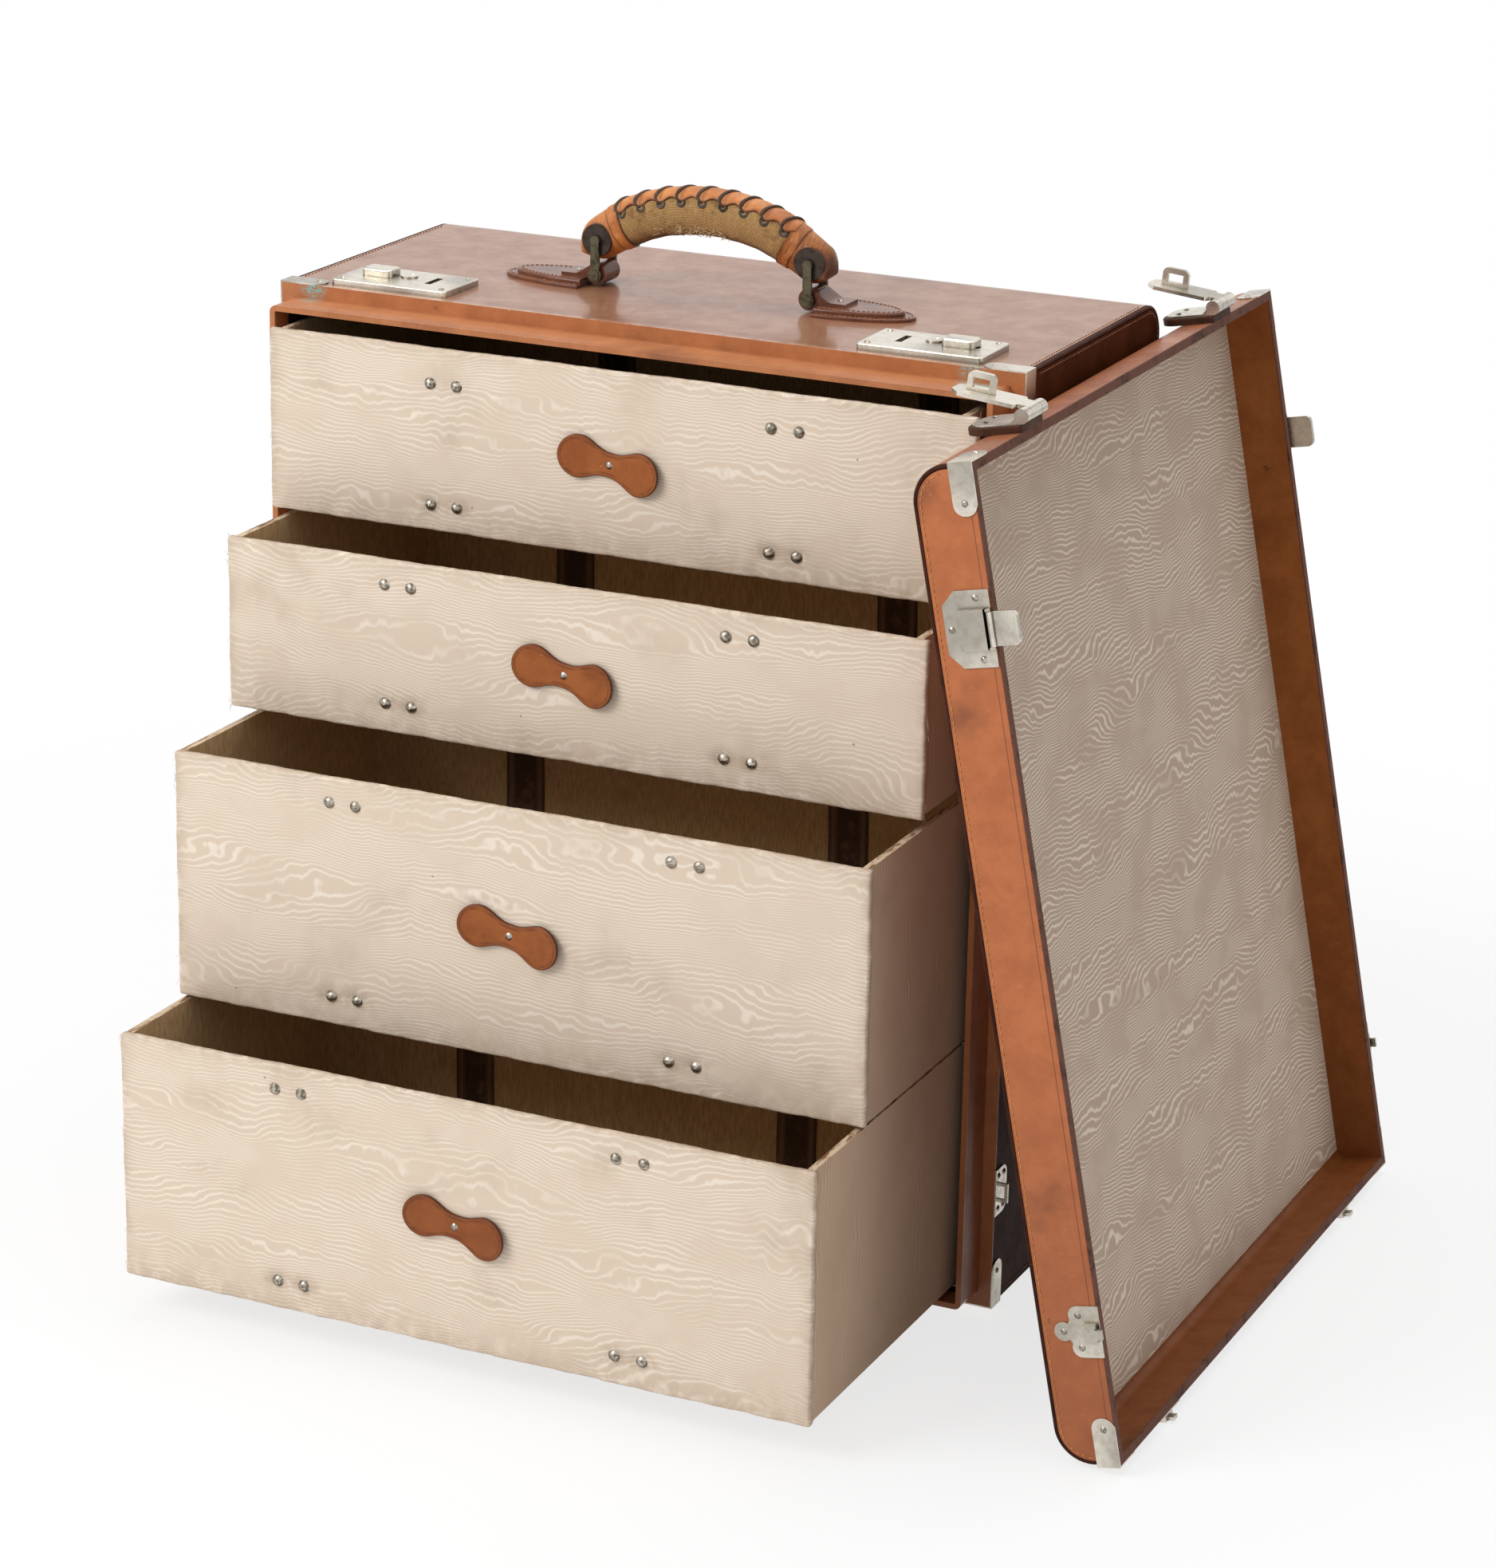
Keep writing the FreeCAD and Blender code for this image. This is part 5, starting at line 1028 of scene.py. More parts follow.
# ---- Materials ----------------------------------------------------------------------------
class Finishes:
    """Every finish of the trunk, each made once."""

    corners: tuple[Triple, ...] = ((238.0, -131.0, 655.0), (252.0, -140.0, 648.0), (-250.0, -131.0, 655.0))
    lid_crease: float = 5.0

    def __init__(self) -> None:
        """Builds all the materials."""
        effects = Effects()
        on_crease = TRUNK.leaning(np.array([TRUNK.half, TRUNK.rim - self.lid_crease, TRUNK.top / 2]))
        across_rim = TRUNK.leaning_direction(BACK)
        rim_line = Line(across_rim, float(np.dot(on_crease, across_rim)), 0.5)
        brown = dict(stain=(0.115, 0.036, 0.018), worn=(0.52, 0.30, 0.20))
        self.top_hide = Leather("top_hide", (0.328, 0.152, 0.083), (0.250, 0.108, 0.057), roughness=0.38,
                                gloss=0.45, coat_roughness=0.12, specular=0.12, scratched=0.65,
                                spotted=0.9, seed=3.0, verdigris=self.corners, **brown,
                                creases=(level_line(TRUNK.rim + 11.0, 0.7),),
                                rubs=(level_line(TRUNK.rim + 2.0, 3.5), level_line(TRUNK.back - 12.0, 7.0)))
        self.side_hide = Leather("side_hide", (0.100, 0.028, 0.010), (0.064, 0.017, 0.006), roughness=0.50,
                                 specular=0.02, scratched=0.30, spotted=0.3, seed=8.0,
                                 rubs=(level_line(TRUNK.rim + 1.5, 3.0),),
                                 stain=(0.045, 0.013, 0.006), worn=(0.30, 0.12, 0.06))
        self.rim_hide = Leather("rim_hide", (0.50, 0.185, 0.064), (0.40, 0.138, 0.044), roughness=0.42,
                                gloss=0.15, scratched=0.45, spotted=0.5, seed=12.0,
                                creases=(level_line(TRUNK.rim - 28.0, 0.6), level_line(TRUNK.rim - 3.5, 0.6)),
                                verdigris=self.corners, stain=(0.14, 0.038, 0.014), worn=(0.70, 0.40, 0.22))
        self.lid_side = Leather("lid_side_hide", (0.52, 0.157, 0.050), (0.42, 0.120, 0.036), roughness=0.44,
                                gloss=0.08, scratched=0.40, spotted=0.9, stained=0.75, seed=21.0,
                                creases=(rim_line,), stain=(0.17, 0.050, 0.020), worn=(0.62, 0.30, 0.16))
        self.lid_wrap = Leather("lid_wrap_hide", (0.37, 0.130, 0.058), (0.235, 0.075, 0.033), roughness=0.42,
                                gloss=0.12, specular=0.15, scratched=0.55, spotted=0.6, seed=33.0, **brown)
        self.lid_inside = Leather("lid_inside_hide", (0.325, 0.103, 0.026), (0.240, 0.072, 0.016),
                                  roughness=0.50, specular=0.12, scratched=0.5, spotted=0.7, stained=0.8,
                                  seed=41.0, stain=(0.085, 0.022, 0.008), worn=(0.42, 0.17, 0.07))
        self.pad_hide = Leather("pad_hide", (0.185, 0.062, 0.031), (0.100, 0.032, 0.016), roughness=0.36,
                                gloss=0.4, coat_roughness=0.12, specular=0.12, scratched=0.35,
                                spotted=0.4, seed=55.0, stain=(0.060, 0.018, 0.009), worn=(0.46, 0.24, 0.15))
        self.dark_hide = Leather("hasp_pad_hide", (0.085, 0.034, 0.018), (0.035, 0.014, 0.008),
                                 roughness=0.6, specular=0.1, relief=0.2, seed=60.0,
                                 stain=(0.02, 0.008, 0.005), worn=(0.28, 0.14, 0.08))
        self.piping = Leather("piping_hide", (0.075, 0.022, 0.011), (0.032, 0.010, 0.006), roughness=0.60,
                              specular=0.08, scratched=0.6, seed=71.0,
                              stain=(0.015, 0.006, 0.004), worn=(0.22, 0.10, 0.05))
        self.strip_hide = Leather("grip_strip_hide", (0.62, 0.235, 0.062), (0.40, 0.125, 0.032),
                                  roughness=0.5, relief=0.22, scratched=0.6, stained=1.0, spotted=0.8,
                                  seed=82.0, edged=True, stain=(0.10, 0.030, 0.012), worn=(0.80, 0.42, 0.17))
        self.pull_hide = Leather("pull_hide", (0.37, 0.112, 0.028), (0.275, 0.075, 0.017), roughness=0.44,
                                 relief=0.10, specular=0.2, scratched=0.4, stained=0.4, spotted=0.3,
                                 seed=93.0, edged=True, stain=(0.080, 0.020, 0.008), worn=(0.60, 0.27, 0.10))
        self.lace_hide = Leather("lace_hide", (0.085, 0.045, 0.024), (0.035, 0.018, 0.010), roughness=0.7,
                                 relief=0.25, seed=97.0, stain=(0.02, 0.01, 0.006), worn=(0.20, 0.12, 0.07))
        cream = dict(ground=(0.705, 0.580, 0.455), line=(0.835, 0.725, 0.610), soiled=(0.36, 0.255, 0.165))
        self.silks = [Silk("front_silk_%d" % (number + 1), weft=Weft.FRONT, contrast=0.85, lines=20.0,
                           seed=4.7 * number + 1.3, edged=True, **cream) for number in range(4)]
        side_silk = Silk("side_silk", (0.58, 0.425, 0.295), (0.70, 0.545, 0.40), (0.42, 0.29, 0.18),
                         Weft.SIDE, contrast=0.7, lines=12.0, seed=9.1)
        self.drawer_box = DrawerLining("drawer_lining", side_silk, (0.47, 0.310, 0.150),
                                       (0.65, 0.455, 0.255), (0.20, 0.085, 0.030))
        self.panel_silk = Silk("panel_silk", (0.465, 0.350, 0.260), (0.740, 0.615, 0.500),
                               (0.40, 0.285, 0.195), Weft.PANEL, contrast=0.95, lines=17.0, seed=2.2)
        self.nickel = Plate("nickel", (0.74, 0.69, 0.60), (0.38, 0.33, 0.25), roughness=0.20, tarnished=0.40,
                            painted_facing_shade=0.5)
        self.rivet = Plate("rivet_nickel", (0.52, 0.47, 0.40), (0.17, 0.14, 0.10), roughness=0.24,
                           tarnished=0.6, seed=5.0)
        self.steel = Plate("dark_steel", (0.36, 0.34, 0.31), (0.12, 0.10, 0.08), roughness=0.42, seed=9.0)
        self.bronze = Plate("shackle_bronze", (0.125, 0.110, 0.070), (0.040, 0.038, 0.024), roughness=0.40,
                            tarnished=0.8, metallic=0.9, seed=14.0)
        self.black = Plate("dark_bronze", (0.055, 0.040, 0.030), (0.014, 0.011, 0.009), roughness=0.42,
                           tarnished=0.7, metallic=0.6, seed=18.0)
        self.canvas = Cloth("canvas", (0.60, 0.365, 0.150), (0.20, 0.100, 0.034), (0.075, 0.030, 0.010))
        self.lining = Cloth("dark_lining", (0.045, 0.026, 0.022), (0.018, 0.010, 0.009),
                            (0.012, 0.007, 0.006), pitch=1.2, relief=0.15, mapped=False)
        self.front_back = Cloth("front_lining", (0.54, 0.370, 0.200), (0.40, 0.255, 0.125),
                                (0.16, 0.070, 0.03), pitch=1.2, relief=0.15, mapped=False)
        self.tape = Cloth("tape", (0.120, 0.070, 0.045), (0.050, 0.030, 0.022), (0.26, 0.160, 0.105),
                          pitch=1.1, relief=0.2)
        self.binding = Cloth("binding_cloth", (0.190, 0.082, 0.055), (0.110, 0.043, 0.028),
                             (0.045, 0.020, 0.014), pitch=1.0, relief=0.15, mapped=False)
        self.wood = Leather("poplar_board", (0.58, 0.40, 0.22), (0.46, 0.30, 0.16), roughness=0.7,
                            relief=0.15, scratched=0.2, seed=99.0, stain=(0.30, 0.18, 0.09),
                            worn=(0.68, 0.50, 0.30))
        self.gold_thread = Thread("gold_thread", (0.72, 0.36, 0.085), (0.42, 0.17, 0.040))
        self.brown_thread = Thread("brown_thread", (0.46, 0.20, 0.085), (0.20, 0.075, 0.030))
        self.silk_thread = Thread("silk_thread", (0.74, 0.62, 0.48), (0.48, 0.37, 0.25))
        self.hemp = Thread("canvas_fibre", (0.78, 0.56, 0.32), (0.50, 0.32, 0.15))
        for name, finish in list(vars(self).items()):
            if isinstance(finish, list):
                setattr(self, name, [part.make(effects) for part in finish])
            else:
                setattr(self, name, finish.make(effects))

    def by_node(self) -> dict[str, bpy.types.Material]:
        """The finish of each carried-over node.

        Returns:
            Node names and their materials.
        """
        shared = {
            self.wood: "carcass_box lid_shell",
            self.top_hide: "leather_wrap",
            self.side_hide: "side_leather",
            self.rim_hide: "lip_leather",
            self.pad_hide: "handle_pads handle_chapes",
            self.lid_wrap: "lid_wrap",
            self.lid_side: "lid_side_leather",
            self.lid_inside: "lid_inner_leather",
            self.dark_hide: "hasp_pads",
            self.piping: "seam_piping lid_piping",
            self.lining: "inner_frame back_lining",
            self.binding: "lid_binding",
            self.panel_silk: "lid_silk_panel",
            self.steel: "drawer_runners lock_cases",
            self.rivet: "carcass_rivets lid_rivets",
            self.bronze: "shackle_right shackle_left",
            self.canvas: "grip_core",
            self.strip_hide: "grip_leather",
            self.lace_hide: "grip_lacing",
            self.black: "grip_fittings",
            self.nickel: "corner_straps lock_plates loop_plates catch_keepers feet lid_corner_straps "
                         "catch_plates hook_plates hasp_bases hasp_strap_near hasp_strap_far "
                         "catch_tongue_near catch_tongue_far lock_button_right lock_button_left "
                         "keyhole_cover_right keyhole_cover_left"}
        chosen = {node: finish for finish, nodes in shared.items() for node in nodes.split()}
        for number, silk in enumerate(self.silks, 1):
            of_drawer = {"box": self.drawer_box, "front": silk, "rivets": self.rivet, "pull": self.pull_hide}
            chosen.update({"drawer_%d_%s" % (number, part): finish for part, finish in of_drawer.items()})
        return chosen

    def dress(self, nodes: dict[str, bpy.types.Object]) -> None:
        """Puts each node's finish in the slots of its object.

        Args:
            nodes: the carried-over nodes.
        """
        chosen = self.by_node()
        for name, piece in nodes.items():
            if not piece.material_slots:
                piece.data.materials.append(None)
            for place in piece.material_slots:
                place.link = "OBJECT"
                place.material = chosen[name]
            LOG.info("%s: %s", name, chosen[name].name)


# ---- Drawers ------------------------------------------------------------------------------
@dataclass(frozen=True)
class Drawer:
    """One drawer: its front's levels and half width, how far it is out, and its rivets' heights.

    The rivets' heights are taken from the front's base and from its top.
    """

    name: str
    low: float
    high: float
    out: float
    half_width: float
    rivets: tuple[float, float]
    seed: int

    @property
    def face(self) -> float:
        """Place of the front's outer face."""
        return TRUNK.rim - self.out

    @property
    def middle(self) -> float:
        """Height of the front's middle."""
        return (self.low + self.high) / 2

    @property
    def rivet_heights(self) -> tuple[float, float]:
        """Heights of the lower and the upper rivets."""
        return self.low + self.rivets[0], self.high - self.rivets[1]


@dataclass
class DrawerSet:
    """Silk over the drawers' fronts, their leather pulls, and tapes inside."""

    finishes: Finishes
    drawers: tuple[Drawer, ...] = (
        Drawer("drawer_1", 506.5, 633.0, 42.0, 260.5, (18.1, 24.5), 11),
        Drawer("drawer_2", 381.5, 502.0, 106.0, 257.5, (20.0, 17.5), 23),
        Drawer("drawer_3", 196.5, 371.5, 182.0, 255.5, (20.0, 17.5), 37),
        Drawer("drawer_4", 18.5, 194.5, 257.0, 255.5, (20.0, 17.5), 51))
    board: float = 3.6
    silk_proud: float = 0.5
    silk_behind: float = 0.3
    edge_round: float = 2.0
    spacing: float = 3.2
    near_edges: tuple[float, ...] = (0.0, 0.3, 0.8, 1.4, 2.2, 3.2)
    rivet_across: tuple[float, ...] = (-136.0, -116.0, 116.0, 136.0)
    dimple: float = 0.70
    dimple_reach: float = 7.0
    rays: int = 7
    ray_height: float = 0.42
    ray_reach: float = 11.0
    fold_depth: float = 0.38
    drawn_depth: float = 0.36
    middle_dent: float = 0.45
    threads: int = 46
    thread_radius: float = 0.10
    thread_reach: float = 2.2
    thread_room: float = 0.4
    bunches: tuple[float, ...] = (0.04, 0.12, 0.5, 0.86, 0.97)
    pull_half: float = 37.5
    lobe_radius: float = 15.0
    waist: float = 8.5
    pull_thickness: float = 2.6
    pull_standoff: float = 3.4
    pull_tilt: float = 10.0
    pull_shift: float = 0.5
    pull_rows: int = 61
    pull_columns: int = 21
    bevel: float = 0.9
    border_inset: float = 2.4
    border_width: float = 0.42
    border_depth: float = 0.34
    box_side: float = 5.0
    box_base: float = 4.0
    lining_half: float = 248.0
    lining_short: float = 1.2
    lining_proud: float = 0.35
    tape_across: float = 126.0
    tape_half: float = 15.0
    tape_thickness: float = 0.75
    tape_clear: float = 0.1
    tape_rows: int = 40
    tape_columns: int = 9
    tape_short: float = 3.0
    opening_half: float = 262.0

    def relief(self, drawer: Drawer, x: Points, z: Points) -> Points:
        """How far the silk stands off the board: slow waves, dimples and puckers at the rivets.

        Each rivet takes away a bell curve of the distance, and adds seven rays that fade with the
        distance. A crease runs between the two rivets of a pair, and a drawn fold slants below it.
        The pull's rivet makes one more dimple.

        Args:
            drawer: whose front it is.
            x: places across the front.
            z: their heights.

        Returns:
            The distance off the board at each place.
        """
        start = float(drawer.seed)
        out = self.silk_proud + sines(x + 0.6 * z, ((0.10, 0.031, start), (0.06, 0.083, 2 * start)))
        out = out + sines(z - 0.4 * x, ((0.09, 0.052, start + 1.0), (0.04, 0.17, start + 2.0)))
        out = out + 0.32 * fade(z - drawer.low, 10.0) * sines(x, ((1.0, 0.17, start), (0.7, 0.41, start)))
        for height, strength in zip(drawer.rivet_heights, (1.0, 0.5)):
            above = z - height
            for across in self.rivet_across:
                aside = x - across
                reach = np.hypot(aside, above)
                turn = np.arctan2(above, aside)
                rays = np.sin(self.rays * turn + across + start) * fade(reach, self.ray_reach)
                out = out - self.dimple * bell(reach, self.dimple_reach)
                out = out + self.ray_height * strength * rays * (1 - bell(reach, 4.0))
            for side in SIDES:
                aside = x - side * self.tape_across
                fold = bell(above, 1.4) * np.exp(-(aside / 15.0) ** 4)
                drawn = bell(above + 0.12 * aside + 7.0, 1.6) * bell(aside, 24.0)
                out = out - (self.fold_depth * fold + self.drawn_depth * drawn) * strength
        return out - self.middle_dent * bell(np.hypot(x, z - drawer.middle), 9.0)

    def soil(self, drawer: Drawer, surface: Points, from_side: Points, from_end: Points) -> Points:
        """How dirty the silk is, from 0 to 1: at its edges, near its base and round its lower rivets.

        Args:
            drawer: whose front it is.
            surface: the silk's points.
            from_side: how far each is from a side edge.
            from_end: how far each is from the top or the base.

        Returns:
            The dirt at each point: the most of several falling curves.
        """
        x, z = surface[..., 0], surface[..., 2]
        dirt = np.maximum(0.75 * fade(from_side, 4.0), 0.6 * fade(from_end, 3.0))
        dirt = np.maximum(dirt, 0.55 * fade(np.maximum(z - drawer.low, 0), 14.0))
        for across in self.rivet_across:
            reach = np.hypot(x - across, 1.6 * (z - drawer.rivet_heights[0]))
            dirt = np.maximum(dirt, 0.95 * bell(reach, 11.0))
        return dirt

    def front(self, drawer: Drawer, number: int) -> None:
        """Silk over the front: a fine grid that turns over round edges and is closed at the back.

        Near an edge the surface falls by r - sqrt(r2 - d2), d being how far it is past the start of
        the rounding.

        Args:
            drawer: whose front it is.
            number: which of the four silks covers it.
        """
        columns = edge_steps(-drawer.half_width, drawer.half_width, self.spacing, self.near_edges)
        rows = edge_steps(drawer.low, drawer.high, self.spacing, self.near_edges)
        flat_x, flat_z = np.meshgrid(columns, rows)
        sideways, upwards = np.sign(flat_x), np.where(flat_z > drawer.middle, 1.0, -1.0)
        from_side = drawer.half_width - np.abs(flat_x)
        from_end = np.minimum(drawer.high - flat_z, flat_z - drawer.low)
        aside = np.maximum(self.edge_round - from_side, 0)
        above = np.maximum(self.edge_round - from_end, 0)
        reach = np.maximum(np.hypot(aside, above), 1e-9)
        kept = np.minimum(self.edge_round / reach, 1)
        fallen = self.edge_round - np.sqrt(self.edge_round ** 2 - np.minimum(reach, self.edge_round) ** 2)
        out = self.relief(drawer, flat_x, flat_z) - fallen
        start = float(drawer.seed)
        ragged = sines(flat_z, ((0.28, 0.07, start), (0.16, 0.31, start), (0.10, 0.9, start)))
        wavy = sines(flat_x, ((0.22, 0.05, start), (0.12, 0.23, start), (0.08, 0.7, start)))
        x = flat_x + sideways * (ragged * fade(from_side, 3.0) - aside * (1 - kept))
        z = flat_z + upwards * (wavy * fade(from_end, 3.0) - above * (1 - kept))
        surface = stacked(x, drawer.face - out, z)
        shell = Shell()
        shell.grid(surface, rim=self.soil(drawer, surface, from_side, from_end))
        ring = border(surface)
        middle, behind = ring.copy(), ring.copy()
        middle[:, 1] = drawer.face + 0.6 * self.board
        behind[:, 1] = drawer.face + self.board + self.silk_behind
        shell.grid(np.stack([ring, middle, behind]), rim=0.8, looped=True)
        shell.polygon(shell.count - len(ring), len(ring))
        piece = shell.build(drawer.name + "_silk", self.finishes.silks[number], drawer.name, "cream_silk")
        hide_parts(drawer.name + "_front")

    def fray(self, drawer: Drawer) -> None:
        """Loose silk threads at the front's side edges, in bunches, two in three on the left.

        Args:
            drawer: whose front it is; it seeds the random draws.
        """
        random = np.random.default_rng(drawer.seed)
        shell = Shell()
        reach = min(self.thread_reach, self.opening_half - self.thread_room - drawer.half_width)
        for index in range(self.threads):
            side = -1.0 if index % 3 else 1.0
            share = np.clip(random.choice(self.bunches) + random.normal(0, 0.05), 0.01, 0.99)
            height = drawer.low + (drawer.high - drawer.low) * share
            deep = drawer.face + random.uniform(0.8, 3.4)
            start = np.array([side * (drawer.half_width - 0.2), deep, height])
            outward = side * random.uniform(0.3, 1.0) * reach
            run = np.array([outward, random.uniform(-1.6, 1.2), random.normal(0, 3.0)])
            sag = np.array([0.0, random.normal(0, 0.5), random.uniform(-2.2, 0.6)])
            shell.hair(start, run, sag, self.thread_radius, 5, (0.31, 0.74, 0.59))
        shell.build(drawer.name + "_frayed_threads", self.finishes.silk_thread, drawer.name, "cream_silk")

    def pull(self, drawer: Drawer) -> None:
        """Bow-tie of leather: a closed section carried along it.

        Its half height is a circle at each lobe, and between them waist + rise * (1 - cos) / 2. Its
        ends stand off by standoff * (s / half) squared, and a border is pressed into its face.

        Args:
            drawer: whose pull it is.
        """
        lobe_centre = self.pull_half - self.lobe_radius
        station = self.pull_half * np.sin(np.linspace(-0.5, 0.5, self.pull_rows) * np.pi)[:, None]
        beyond = np.maximum(np.abs(station) - lobe_centre, 0)
        in_lobe = np.abs(station) > lobe_centre
        lobe = np.sqrt(np.maximum(self.lobe_radius ** 2 - beyond ** 2, 0))
        share = np.minimum(np.abs(station) / lobe_centre, 1) ** 1.25
        inner = self.waist + (self.lobe_radius - self.waist) * 0.5 * (1 - np.cos(np.pi * share))
        half = np.where(in_lobe, lobe, inner)
        run = np.sin(np.linspace(-0.5, 0.5, self.pull_columns) * np.pi)[None, :]
        aside = half * np.concatenate([run, run[:, ::-1]], axis=1)
        upper = np.concatenate([np.ones(run.shape), np.zeros(run.shape)], axis=1) > 0
        from_edge = np.where(in_lobe, self.lobe_radius - np.hypot(beyond, aside), half - np.abs(aside))
        from_edge = np.maximum(from_edge, 0)
        rounding = self.bevel - np.sqrt(self.bevel ** 2 - np.maximum(self.bevel - from_edge, 0) ** 2)
        groove = bell(from_edge - self.border_inset, self.border_width)
        dimple = 0.5 * bell(np.hypot(station, aside), 4.0)
        face = self.pull_thickness - rounding - self.border_depth * groove - dimple
        lift = self.pull_standoff * (station / self.pull_half) ** 2 + self.pull_shift
        off = lift + np.where(upper, face, rounding)
        tilt = math.radians(self.pull_tilt)
        x = station * math.cos(tilt) + aside * math.sin(tilt)
        z = drawer.middle - station * math.sin(tilt) + aside * math.cos(tilt)
        worn = np.where(upper, np.maximum(fade(from_edge, 0.8), 0.65 * groove), 1.0)
        shell = Shell()
        shell.grid(stacked(x, drawer.face - off, z), rim=worn, looped=True)
        name = drawer.name + "_pull"
        piece = shell.build(name + "_leather", self.finishes.pull_hide, drawer.name, "tan_leather")
        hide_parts(name)

    def tape(self, shell: Shell, drawer: Drawer, across: float, wall: float, facing: float) -> None:
        """A band of tape up an inside wall: a thin closed section, a little wavy.

        Args:
            shell: what the tapes are gathered in.
            drawer: whose tape it is.
            across: its middle, from side to side.
            wall: place of the wall.
            facing: which way the wall faces, 1 for the back and -1 for the front.
        """
        low, high = drawer.low + self.box_base, drawer.high - self.tape_short
        rows = np.linspace(low, high, self.tape_rows)[:, None]
        run = np.linspace(-1, 1, self.tape_columns)
        aside = self.tape_half * np.concatenate([run, run[::-1]])[None, :]
        thick = np.repeat([self.tape_thickness, self.tape_clear], len(run))[None, :]
        wave = sines(rows + 0.4 * aside, ((0.10, 0.11, across), (0.05, 0.37, 1.0)))
        x = across + aside + sines(rows, ((0.3, 0.05, across),))
        y = wall + facing * (thick * (1 + wave))
        stripe = np.abs(np.abs(aside) - 0.75 * self.tape_half) < 0.1
        shell.bar(stacked(x, y, rows), rim=stripe, flat=stacked(aside, rows))

    def inside(self, drawer: Drawer) -> None:
        """Lining on the back of the front, and tapes on the front and back inner walls.

        Args:
            drawer: whose inside it is.
        """
        behind = drawer.face + self.board + self.silk_behind
        back_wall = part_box(drawer.name + "_box")[1][1] / MM - self.box_side
        low, high = drawer.low + self.box_base, drawer.high - self.lining_short
        columns, rows = np.meshgrid(np.linspace(-self.lining_half, self.lining_half, 60),
                                    np.linspace(low, high, 24))
        wave = sines(columns, ((0.03, 0.07, 1.0),)) + sines(rows, ((0.03, 0.09, 2.0),))
        face = stacked(columns, behind + self.lining_proud + wave, rows)
        back = stacked(columns, behind - 0.05, rows)
        lining = Shell()
        lining.grid(face)
        lining.grid(back)
        lining.grid(np.stack([border(face), border(back)]), looped=True)
        lining.build(drawer.name + "_front_lining", self.finishes.front_back, drawer.name, "lining")
        tapes = Shell()
        for side in SIDES:
            self.tape(tapes, drawer, side * self.tape_across, back_wall, -1.0)
            self.tape(tapes, drawer, side * self.tape_across, behind + 0.4, 1.0)
        tapes.build(drawer.name + "_tapes", self.finishes.tape, drawer.name, "binding_cloth")

    def build(self) -> None:
        """Makes every drawer's pieces."""
        for number, drawer in enumerate(self.drawers):
            self.front(drawer, number)
            self.fray(drawer)
            self.pull(drawer)
            self.inside(drawer)


